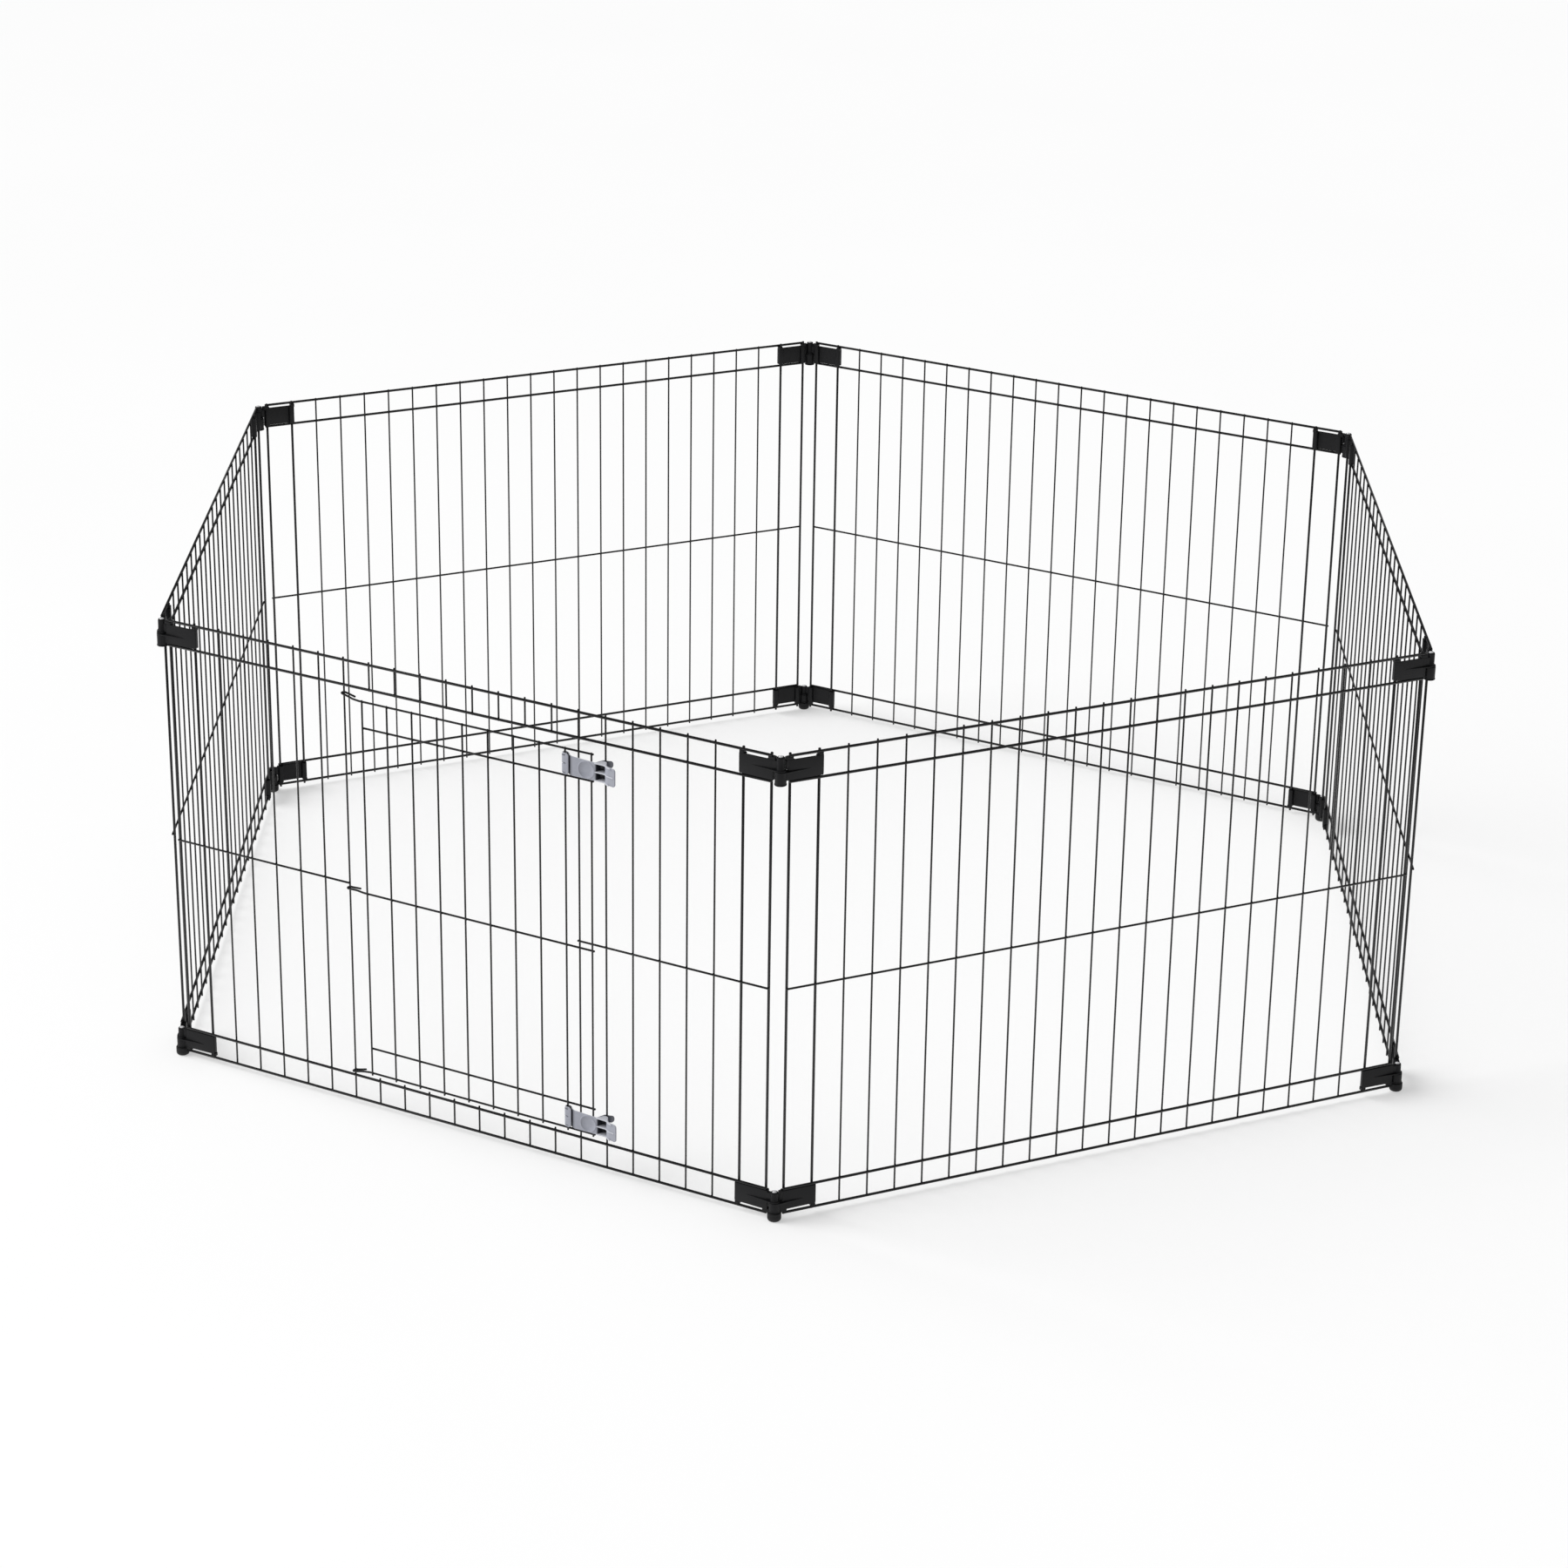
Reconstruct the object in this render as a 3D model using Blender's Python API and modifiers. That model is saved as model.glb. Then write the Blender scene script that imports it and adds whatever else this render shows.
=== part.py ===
"""A six-sided folding wire playpen with a hinged door, modelled as separate parts.

Every panel is drawn in its own frame: X runs along the panel from its left hinge
axis to its right one (left and right as seen from outside), +Y points into the
pen and Z is up from the floor. The corners are numbered counter-clockwise seen
from above, and each panel starts at the corner of its own number.
"""

from math import cos, pi, radians, sin

import bmesh
import bpy
from mathutils import Matrix, Vector

MM = 0.001

# Driving dimensions, in metres
PITCH = 38.1 * MM  # between upright wires
BAYS = 23
HINGE_REACH = 12.5 * MM  # from a hinge axis to the nearest upright
PANEL_SPAN = BAYS * PITCH + 2 * HINGE_REACH
TURNS = (62.0, 53.3, 64.7)  # degrees turned at corners 0, 1 and 2, and again at 3, 4 and 5

FLOOR_LIFT = 8.5 * MM  # floor to the middle of the bottom rail
BAND = 33.0 * MM  # between an outermost rail and the rail next to it
RAIL_BOTTOM = FLOOR_LIFT
RAIL_TOP = FLOOR_LIFT + 610.0 * MM
RAIL_LOW = RAIL_BOTTOM + BAND
RAIL_HIGH = RAIL_TOP - BAND
MIDDLE = FLOOR_LIFT + 305.5 * MM

THICK = 1.75 * MM  # wire radii
THIN = 1.2 * MM
MEDIUM = 1.35 * MM
SAME_AREA = (pi / 2) ** 0.5  # corner radius of a square wire as heavy as a round one
WIRE_TIP = 3.0 * MM  # an upright stands this far past the middle of the last rail
RAIL_END = 2.1 * MM  # a rail reaches this far past the middle of the last upright
JAMB_REACH = 1.3 * MM  # and this far past a jamb, where the solids above and below begin
WELD = 0.25 * MM  # depth to which welded wires sink into each other
PASS = 0.15 * MM  # clearance where a thin wire passes a rail without a weld
GAP = 0.35 * MM  # clearance between neighbouring parts

# The doorway and the door, counted in pitches from the first upright
JAMB_HINGE = 7
JAMB_LATCH = 16
DOOR_FIRST = 7.83
DOOR_LAST = 16.60
DOOR_UPRIGHTS = 10
DOOR_Y = -5.6 * MM
DOOR_TOP = RAIL_HIGH - 16.0 * MM
DOOR_BOTTOM = RAIL_LOW + 11.4 * MM
DOOR_BAND = 35.5 * MM
DOOR_MIDDLE = MIDDLE - 7.0 * MM
DOOR_TIP = 2.6 * MM
HOOK_RISES = (3.4 * MM, -0.5 * MM, -6.5 * MM)  # top, middle and bottom hooks
HOOK_LEG = 14.0 * MM

# Corner brackets, hinge pins and feet
BARREL_WIDE = 7.25 * MM
BARREL_SLIM = 4.95 * MM
PIN = 2.4 * MM
PIN_HEAD = 3.6 * MM
PIN_DOME = 2.1 * MM
BLOCK_START = 8.3 * MM  # from the hinge axis to the block round the first upright
PLATE_FACE = -3.4 * MM
PLATE_BACK = -1.4 * MM
PLATE_END = HINGE_REACH + PITCH + 4.4 * MM
PLATE_GAP = 4.7 * MM  # middle of the outermost rail to the edge of the plate
BARREL_GAP = 0.15 * MM  # half the clearance where the two barrels meet
RIB_HEIGHT = 1.4 * MM
RIB_END = 38.0 * MM
FOOT_RADIUS = 8.8 * MM
FOOT_TOP = RAIL_BOTTOM + 3.0 * MM

# Latches, snapped round the last upright but one of the door
LATCH_HEIGHT = 28.0 * MM
LATCH_WALL = 2.0 * MM
JAW_HEIGHT = 24.0 * MM
JAW_WALL = 1.4 * MM
LATCH_UPRIGHT = 8
LATCH_CATCH = 17  # the panel upright that the latch holds
LATCH_PROUD = 17.7 * MM  # furthest that a latch stands out of the panel's middle plane

PANELS = ("front", "front_right", "back_right", "back", "back_left", "front_left")
CORNERS = ("front_left", "front_right", "right", "back_right", "back_left", "left")

BLACK_WIRE = ((0.012, 0.012, 0.013), 0.28, 0.0)  # colour, roughness, metallic
BLACK_PLASTIC = ((0.022, 0.022, 0.023), 0.45, 0.0)
GREY_PLASTIC = ((0.29, 0.30, 0.34), 0.38, 0.0)
DARK_STEEL = ((0.05, 0.05, 0.055), 0.22, 1.0)
BLACK_RUBBER = ((0.018, 0.018, 0.019), 0.6, 0.0)


def upright_x(index):
    """Distance along a panel to an upright, counted from 0."""
    return HINGE_REACH + index * PITCH


# ---------------------------------------------------------------- tools


def material(name, finish):
    colour, roughness, metallic = finish
    made = bpy.data.materials.new(name)
    made.use_nodes = True
    shader = made.node_tree.nodes["Principled BSDF"]
    shader.inputs["Base Color"].default_value = (*colour, 1.0)
    shader.inputs["Roughness"].default_value = roughness
    shader.inputs["Metallic"].default_value = metallic
    return made


def link(name, data, collection):
    thing = bpy.data.objects.new(name, data)
    collection.objects.link(thing)
    return thing


def mesh_of(thing):
    """The evaluated mesh of an object in world space, caps welded, faces out. The object goes."""
    bpy.context.view_layer.update()
    depsgraph = bpy.context.evaluated_depsgraph_get()
    mesh = bpy.data.meshes.new_from_object(thing.evaluated_get(depsgraph))
    mesh.transform(thing.matrix_world)
    bpy.data.objects.remove(thing)
    work = bmesh.new()
    work.from_mesh(mesh)
    bmesh.ops.remove_doubles(work, verts=work.verts, dist=0.00001)
    bmesh.ops.recalc_face_normals(work, faces=work.faces)
    work.to_mesh(mesh)
    work.free()
    return mesh


def joined(name, meshes):
    """One mesh of several that don't touch."""
    work = bmesh.new()
    for mesh in meshes:
        work.from_mesh(mesh)
    result = bpy.data.meshes.new(name)
    work.to_mesh(result)
    work.free()
    return result


def combined(name, base, tools, operation="UNION"):
    """The base mesh with each tool mesh added to it, or cut from it, in turn."""
    thing = link(name, base, bpy.context.scene.collection)
    helpers = []
    for tool in tools:
        helper = link(name + "_tool", tool, bpy.context.scene.collection)
        helpers.append(helper)
        step = thing.modifiers.new("join", "BOOLEAN")
        step.operation = operation
        step.object = helper
    mesh = mesh_of(thing)
    for helper in helpers:
        bpy.data.objects.remove(helper)
    mesh.name = name
    return mesh


def wires(name, paths, radius, twist="MINIMUM"):
    """Square wires along the given paths, with flats square to the panel."""
    curve = bpy.data.curves.new(name, "CURVE")
    curve.dimensions = "3D"
    curve.twist_mode = twist
    curve.bevel_depth = radius * SAME_AREA
    curve.bevel_resolution = 0
    curve.use_fill_caps = True
    for path in paths:
        spline = curve.splines.new("POLY")
        spline.points.add(len(path) - 1)
        for point, place in zip(spline.points, path):
            point.co = (*place, 1.0)
            point.tilt = pi / 4
    return mesh_of(link(name, curve, bpy.context.scene.collection))


def half_side(radius):
    return radius * SAME_AREA / 2 ** 0.5


def slab(name, outlines, low, high):
    """Flat outlines, the first one outside and the rest holes, raised from low to high."""
    curve = bpy.data.curves.new(name, "CURVE")
    curve.dimensions = "2D"
    curve.fill_mode = "BOTH"
    curve.extrude = (high - low) / 2
    for outline in outlines:
        spline = curve.splines.new("POLY")
        spline.points.add(len(outline) - 1)
        spline.use_cyclic_u = True
        for point, (x, y) in zip(spline.points, outline):
            point.co = (x, y, 0.0, 1.0)
    thing = link(name, curve, bpy.context.scene.collection)
    thing.location.z = (low + high) / 2
    return mesh_of(thing)


def drum(name, radius, low, high, sides, turn=0.0):
    """An upright cylinder on the Z axis."""
    bpy.ops.mesh.primitive_cylinder_add(
        vertices=sides,
        radius=radius,
        depth=high - low,
        location=(0, 0, (low + high) / 2),
        rotation=(0, 0, turn),
    )
    thing = bpy.context.active_object
    thing.name = name
    return mesh_of(thing)


def turned(name, profile, steps):
    """A profile of (radius, height) points spun round the Z axis."""
    mesh = bpy.data.meshes.new(name)
    points = [(radius, 0.0, height) for radius, height in profile]
    edges = [(i, i + 1) for i in range(len(points) - 1)]
    mesh.from_pydata(points, edges, [])
    thing = link(name, mesh, bpy.context.scene.collection)
    spin = thing.modifiers.new("spin", "SCREW")
    spin.steps = steps
    spin.render_steps = steps
    spin.use_merge_vertices = True
    spin.merge_threshold = 0.00001
    return mesh_of(thing)


def strip(points, wall):
    """The outline of a strip of even thickness whose middle runs along the points."""
    sides = []
    last = len(points) - 1
    for i, point in enumerate(points):
        before = (Vector(points[i]) - Vector(points[i - 1])).normalized() if i else None
        after = (Vector(points[i + 1]) - Vector(point)).normalized() if i < last else None
        along = ((before or after) + (after or before)).normalized()
        spread = along.dot(after or before)
        across = Vector((-along.y, along.x)) * (wall / 2 / spread)
        sides.append((Vector(point) + across, Vector(point) - across))
    return [a.to_tuple() for a, b in sides] + [b.to_tuple() for a, b in reversed(sides)]


def arc(centre, radius, start, end, steps):
    """Points on an arc in the plane, angles in degrees."""
    angles = [radians(start + (end - start) * i / steps) for i in range(steps + 1)]
    return [(centre[0] + radius * cos(a), centre[1] + radius * sin(a)) for a in angles]


# ---------------------------------------------------------------- wire panels

RAIL_Y = -1.5 * MM
INNER_RAIL_Y = RAIL_Y - WELD - PASS  # rails that the thin uprights pass
RAIL_FACE = RAIL_Y + half_side(THICK)
THIN_Y = RAIL_FACE - WELD + half_side(THIN)
DEEP_FACE = RAIL_FACE - 2 * WELD - PASS  # outer face of an upright welded to every rail
THICK_Y = DEEP_FACE + half_side(THICK)
JAMB_Y = DEEP_FACE + half_side(THIN)
MIDDLE_Y = DEEP_FACE + WELD - half_side(MEDIUM)
WIRES_LOW = RAIL_BOTTOM - WIRE_TIP
WIRES_HIGH = RAIL_TOP + WIRE_TIP


def upright(index, y, low, high):
    x = upright_x(index)
    return [(x, y, low), (x, y, high)]


def stretch(first, last, y, height):
    """A level wire from one place to another along the panel."""
    return [(first, y, height), (last, y, height)]


def welded(name, thick, thin, spans, middles):
    """Uprights inside, rails and the middle wire outside, welded into one solid."""
    groups = [wires(name, group, radius) for group, radius in ((thick, THICK), (thin, THIN)) if group]
    outer = [(x0, x1, RAIL_Y, z) for x0, x1 in spans for z in (RAIL_BOTTOM, RAIL_TOP)]
    inner = [(x0, x1, INNER_RAIL_Y, z) for x0, x1 in spans for z in (RAIL_LOW, RAIL_HIGH)]
    rails = [stretch(*each) for each in outer + inner]
    rows = [wires(name, rails, THICK, "Z_UP")]
    if middles:
        lines = [stretch(x0, x1, MIDDLE_Y, MIDDLE) for x0, x1 in middles]
        rows.append(wires(name, lines, MEDIUM, "Z_UP"))
    return combined(name, joined(name, groups), [joined(name, rows)])


def plain_panel_wires():
    """A panel with no doorway."""
    thick = [upright(i, THICK_Y, WIRES_LOW, WIRES_HIGH) for i in (0, 1, BAYS - 1, BAYS)]
    thin = [upright(i, THIN_Y, WIRES_LOW, WIRES_HIGH) for i in range(2, BAYS - 1)]
    across = [(upright_x(0) - RAIL_END, upright_x(BAYS) + RAIL_END)]
    return welded("panel_wires", thick, thin, across, across)


def beside_doorway(side):
    """The doorway panel's wires on one side of its doorway, with the jamb as the last upright."""
    if side == "left":
        thick, thin, jamb = (0, 1), range(2, JAMB_HINGE), JAMB_HINGE
        span = (upright_x(0) - RAIL_END, upright_x(JAMB_HINGE) + JAMB_REACH)
    else:
        thick, thin, jamb = (BAYS - 1, BAYS), range(JAMB_LATCH + 1, BAYS - 1), JAMB_LATCH
        span = (upright_x(JAMB_LATCH) - JAMB_REACH, upright_x(BAYS) + RAIL_END)
    thick = [upright(i, THICK_Y, WIRES_LOW, WIRES_HIGH) for i in thick]
    thin = [upright(i, THIN_Y, WIRES_LOW, WIRES_HIGH) for i in thin]
    thin.append(upright(jamb, JAMB_Y, WIRES_LOW, WIRES_HIGH))
    return welded(f"doorway_wires_{side}", thick, thin, [span], [span])


def doorway_band(level):
    """The stub wires and two rails above or below the doorway, between the jambs."""
    name = f"doorway_{level}"
    if level == "lintel":
        low, high, heights = RAIL_HIGH - WIRE_TIP, WIRES_HIGH, (RAIL_TOP, RAIL_HIGH)
    else:
        low, high, heights = WIRES_LOW, RAIL_LOW + WIRE_TIP, (RAIL_BOTTOM, RAIL_LOW)
    stubs = [upright(i, JAMB_Y, low, high) for i in range(JAMB_HINGE + 1, JAMB_LATCH)]
    ends = (upright_x(JAMB_HINGE) + JAMB_REACH + GAP, upright_x(JAMB_LATCH) - JAMB_REACH - GAP)
    rails = [stretch(*ends, y, z) for y, z in zip((RAIL_Y, INNER_RAIL_Y), heights)]
    return combined(name, wires(name, stubs, THIN), [wires(name, rails, THICK, "Z_UP")])


# ---------------------------------------------------------------- door

DOOR_INNER_Y = DOOR_Y + WELD + PASS  # rows that the thin uprights of the door pass
DOOR_THIN_Y = DOOR_Y - half_side(MEDIUM) + WELD - half_side(THIN)
DOOR_END_Y = DOOR_THIN_Y + WELD + PASS
HOOK_RADIUS = MEDIUM + THIN + 0.5 * MM
HOOK_BEND = 13.0 * MM  # length over which a hook's leg steps out to the door


def door_x(index):
    share = index / (DOOR_UPRIGHTS - 1)
    return upright_x(DOOR_FIRST + (DOOR_LAST - DOOR_FIRST) * share)


def hooked_row(height, rise, y):
    """A row of the door that ends in a hairpin hook round the hinge jamb."""
    centre = (upright_x(JAMB_HINGE), JAMB_Y)
    level = height + rise
    leg_end = centre[0] + HOOK_LEG
    loop = arc(centre, HOOK_RADIUS, 90, 270, 6)
    path = [(leg_end, centre[1] + HOOK_RADIUS + GAP, level)]
    path += [(x, side, level) for x, side in loop]
    path.append((leg_end, centre[1] - HOOK_RADIUS - GAP, level))
    path.append((leg_end + HOOK_BEND, y, height))
    path.append((door_x(DOOR_UPRIGHTS - 1) + RAIL_END, y, height))
    return path


def plain_row(height):
    first = door_x(0) - RAIL_END
    last = door_x(DOOR_UPRIGHTS - 1) + RAIL_END
    return [(first, DOOR_INNER_Y, height), (last, DOOR_INNER_Y, height)]


def door_wires():
    """The door: uprights outside, rows inside, three of them hooked round the jamb."""
    name = "door_wires"
    paths = []
    for i in range(DOOR_UPRIGHTS):
        y = DOOR_END_Y if i in (0, DOOR_UPRIGHTS - 1) else DOOR_THIN_Y
        low = (door_x(i), y, DOOR_BOTTOM - DOOR_TIP)
        paths.append([low, (door_x(i), y, DOOR_TOP + DOOR_TIP)])
    uprights = wires(name, paths, THIN)
    top, middle, bottom = HOOK_RISES
    rows = [
        hooked_row(DOOR_TOP, top, DOOR_Y),
        hooked_row(DOOR_MIDDLE, middle, DOOR_INNER_Y),
        hooked_row(DOOR_BOTTOM, bottom, DOOR_Y),
        plain_row(DOOR_TOP - DOOR_BAND),
        plain_row(DOOR_BOTTOM + DOOR_BAND),
    ]
    return combined(name, uprights, [wires(name, rows, MEDIUM, "Z_UP")])


# ---------------------------------------------------------------- corner brackets


def bracket_heights(level):
    """Heights of plate bottom, plate top, slim barrel top and wide barrel bottom, and the split."""
    if level == "top":
        plate = (RAIL_HIGH + half_side(THICK) + GAP, RAIL_TOP - PLATE_GAP)
        return (*plate, RAIL_TOP - 1.1 * MM, RAIL_HIGH - 3.0 * MM, RAIL_HIGH + 15.0 * MM)
    plate = (RAIL_BOTTOM + PLATE_GAP, RAIL_LOW - half_side(THICK) - GAP)
    return (*plate, RAIL_LOW - 3.5 * MM, FOOT_TOP + GAP, RAIL_BOTTOM + 17.0 * MM)


def square_hole(x, y):
    side = half_side(THICK) + GAP
    return [(x - side, y - side), (x + side, y - side), (x + side, y + side), (x - side, y + side)]


def bracket(side, level):
    """A moulded bracket, with the hinge axis at X = 0.

    A left bracket carries the wide lower barrel and points along +X, and a right
    bracket carries the slim upper barrel and points along -X.
    """
    name = f"bracket_{side}_{level}"
    low, high, slim_top, wide_bottom, split = bracket_heights(level)
    first = HINGE_REACH
    second = HINGE_REACH + PITCH
    block_back = THICK_Y + half_side(THICK) + 1.9 * MM
    outline = [
        (BLOCK_START, PLATE_FACE),
        (PLATE_END, PLATE_FACE),
        (PLATE_END, PLATE_FACE + 2.5 * MM),
        (second + 3.6 * MM, block_back - 1.3 * MM),
        (second + 2.4 * MM, block_back - 0.5 * MM),
        (second - 2.4 * MM, block_back - 0.5 * MM),
        (second - 3.6 * MM, block_back - 1.3 * MM),
        (second - 4.0 * MM, PLATE_BACK),
        (first + 4.7 * MM, PLATE_BACK),
        (first + 4.1 * MM, block_back - 0.8 * MM),
        (first + 2.9 * MM, block_back),
        (first - 1.5 * MM, block_back),
        (BLOCK_START, 2.0 * MM),
    ]
    rib = [
        (0.0, -7.0 * MM),
        (6.0 * MM, -6.6 * MM),
        (RIB_END, PLATE_FACE - 0.1 * MM),
        (RIB_END, PLATE_FACE + 0.4 * MM),
        (0.0, PLATE_FACE + 0.4 * MM),
    ]
    way = 1 if side == "left" else -1
    outlines = [outline, square_hole(first, THICK_Y), square_hole(second, THICK_Y)]
    outlines = [[(way * x, y) for x, y in line] for line in outlines]
    rib = [(way * x, y) for x, y in rib]
    if side == "left":
        barrel = drum(name, BARREL_WIDE, wide_bottom, split - BARREL_GAP, 12)
        neck_low, neck_high = low + GAP, split - BARREL_GAP - GAP
        rib_low = split - BARREL_GAP - RIB_HEIGHT - 2 * GAP
    else:
        barrel = drum(name, BARREL_SLIM, split + BARREL_GAP, slim_top, 12)
        neck_low, neck_high = split + BARREL_GAP + GAP, min(high, slim_top) - GAP
        rib_low = split + BARREL_GAP + 2 * GAP
    neck = [(0.0, -2.6 * MM), (9.4 * MM, -2.6 * MM), (9.4 * MM, 1.6 * MM), (0.0, 1.6 * MM)]
    neck = [(way * x, y) for x, y in neck]
    solid = combined(
        name,
        slab(name, outlines, low, high),
        [
            barrel,
            slab(name, [neck], neck_low, neck_high),
            slab(name, [rib], rib_low, rib_low + RIB_HEIGHT),
        ],
    )
    bore = drum(name, (PIN + GAP) / cos(pi / 8), wide_bottom - 2 * MM, slim_top + 2 * MM, 8)
    return combined(name, solid, [bore], "DIFFERENCE")


def pin(level):
    """A domed hinge pin that drops through both barrels."""
    slim_top = bracket_heights(level)[2]
    head = slim_top + GAP
    tip = RAIL_HIGH - 2.0 * MM if level == "top" else RAIL_BOTTOM - 5.0 * MM
    profile = [
        (0.0, head + PIN_DOME),
        (PIN_HEAD * 0.6, head + PIN_DOME * 0.75),
        (PIN_HEAD, head + PIN_DOME * 0.2),
        (PIN_HEAD, head),
        (PIN, head),
        (PIN, tip),
        (0.0, tip),
    ]
    return turned(f"pin_{level}", profile, 8)


def foot():
    """A foot cap under a corner, with a blind hole for the end of the pin."""
    hole = (PIN + GAP) / cos(pi / 12)
    profile = [
        (0.0, RAIL_BOTTOM - 5.5 * MM),
        (hole, RAIL_BOTTOM - 5.5 * MM),
        (hole, FOOT_TOP),
        (FOOT_RADIUS - 0.8 * MM, FOOT_TOP),
        (FOOT_RADIUS, FOOT_TOP - 0.8 * MM),
        (FOOT_RADIUS, 3.0 * MM),
        (FOOT_RADIUS - 1.6 * MM, 0.0),
        (0.0, 0.0),
    ]
    return turned("foot", profile, 12)


# ---------------------------------------------------------------- latches

LATCH_Y = DOOR_THIN_Y
PLATE_Y = -10.3 * MM  # middle of the latch's plate
LATCH_LEVELS = {
    "top": DOOR_TOP - DOOR_BAND / 2,
    "bottom": DOOR_BOTTOM + DOOR_BAND / 2,
}


def latch(level):
    """A rolled collar round a door upright, a plate, a valley on the catch and a finger tab."""
    centre = (door_x(LATCH_UPRIGHT), LATCH_Y)
    roll = 3.0 * MM
    catch = upright_x(LATCH_CATCH)
    floor = THIN_Y - THIN - GAP - LATCH_WALL / 2
    lip = [(centre[0] + 6.2 * MM, centre[1] - roll - 0.4 * MM)]
    collar = arc(centre, roll, 270, 90, 6)
    rest = [
        (centre[0] + 2.6 * MM, centre[1] + roll),
        (centre[0] + 9.6 * MM, PLATE_Y),
        (catch - 8.2 * MM, PLATE_Y),
        (catch - 5.4 * MM, floor - 1.0 * MM),
        (catch - 3.4 * MM, floor),
        (catch + 1.6 * MM, floor),
        (catch + 3.6 * MM, floor - 1.6 * MM),
        (catch + 6.4 * MM, floor - 8.6 * MM),
        (catch + 11.0 * MM, floor - 12.2 * MM),
        (catch + 23.0 * MM, 0.8 * MM - LATCH_PROUD),
    ]
    outline = strip(lip + collar + rest, LATCH_WALL)
    middle = LATCH_LEVELS[level]
    return slab(f"latch_{level}", [outline], middle - LATCH_HEIGHT / 2, middle + LATCH_HEIGHT / 2)


def latch_jaw(level):
    """The springy jaw that passes the catch on its left and curls behind it."""
    catch = upright_x(LATCH_CATCH)
    back = THIN_Y + THIN + GAP + JAW_WALL / 2
    start = THIN_Y - THIN - GAP + GAP
    points = [
        (catch - 5.4 * MM, start + 0.2 * MM),
        (catch - 4.4 * MM, back - 1.6 * MM),
        (catch - 2.4 * MM, back),
        (catch + 1.6 * MM, back),
        (catch + 4.6 * MM, back + 1.0 * MM),
        (catch + 8.0 * MM, back + 4.2 * MM),
    ]
    middle = LATCH_LEVELS[level]
    outline = strip(points, JAW_WALL)
    low = middle - JAW_HEIGHT / 2
    return slab(f"latch_jaw_{level}", [outline], low, low + JAW_HEIGHT)


# ---------------------------------------------------------------- layout


def corner_plan():
    """Headings of the panels and the corners of the pen, centred on the whole object."""
    headings = [0.0]
    for turn in (TURNS * 2)[1:]:
        headings.append(headings[-1] + turn)
    corners = [Vector((0.0, 0.0, 0.0))]
    for heading in headings[:-1]:
        step = Vector((cos(radians(heading)), sin(radians(heading)), 0.0)) * PANEL_SPAN
        corners.append(corners[-1] + step)
    xs = [corner.x for corner in corners]
    ys = [corner.y for corner in corners]
    middle_x = (min(xs) + max(xs)) / 2
    middle_y = (min(ys) - LATCH_PROUD + max(ys) + FOOT_RADIUS) / 2
    centre = Vector((middle_x, middle_y, 0.0))
    return headings, [corner - centre for corner in corners]


def place(thing, parent, world):
    """Parents a thing and gives it a world place through its location and rotation."""
    thing.parent = parent
    thing.matrix_local = parent.matrix_world.inverted() @ world if parent else world
    bpy.context.view_layer.update()


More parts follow.
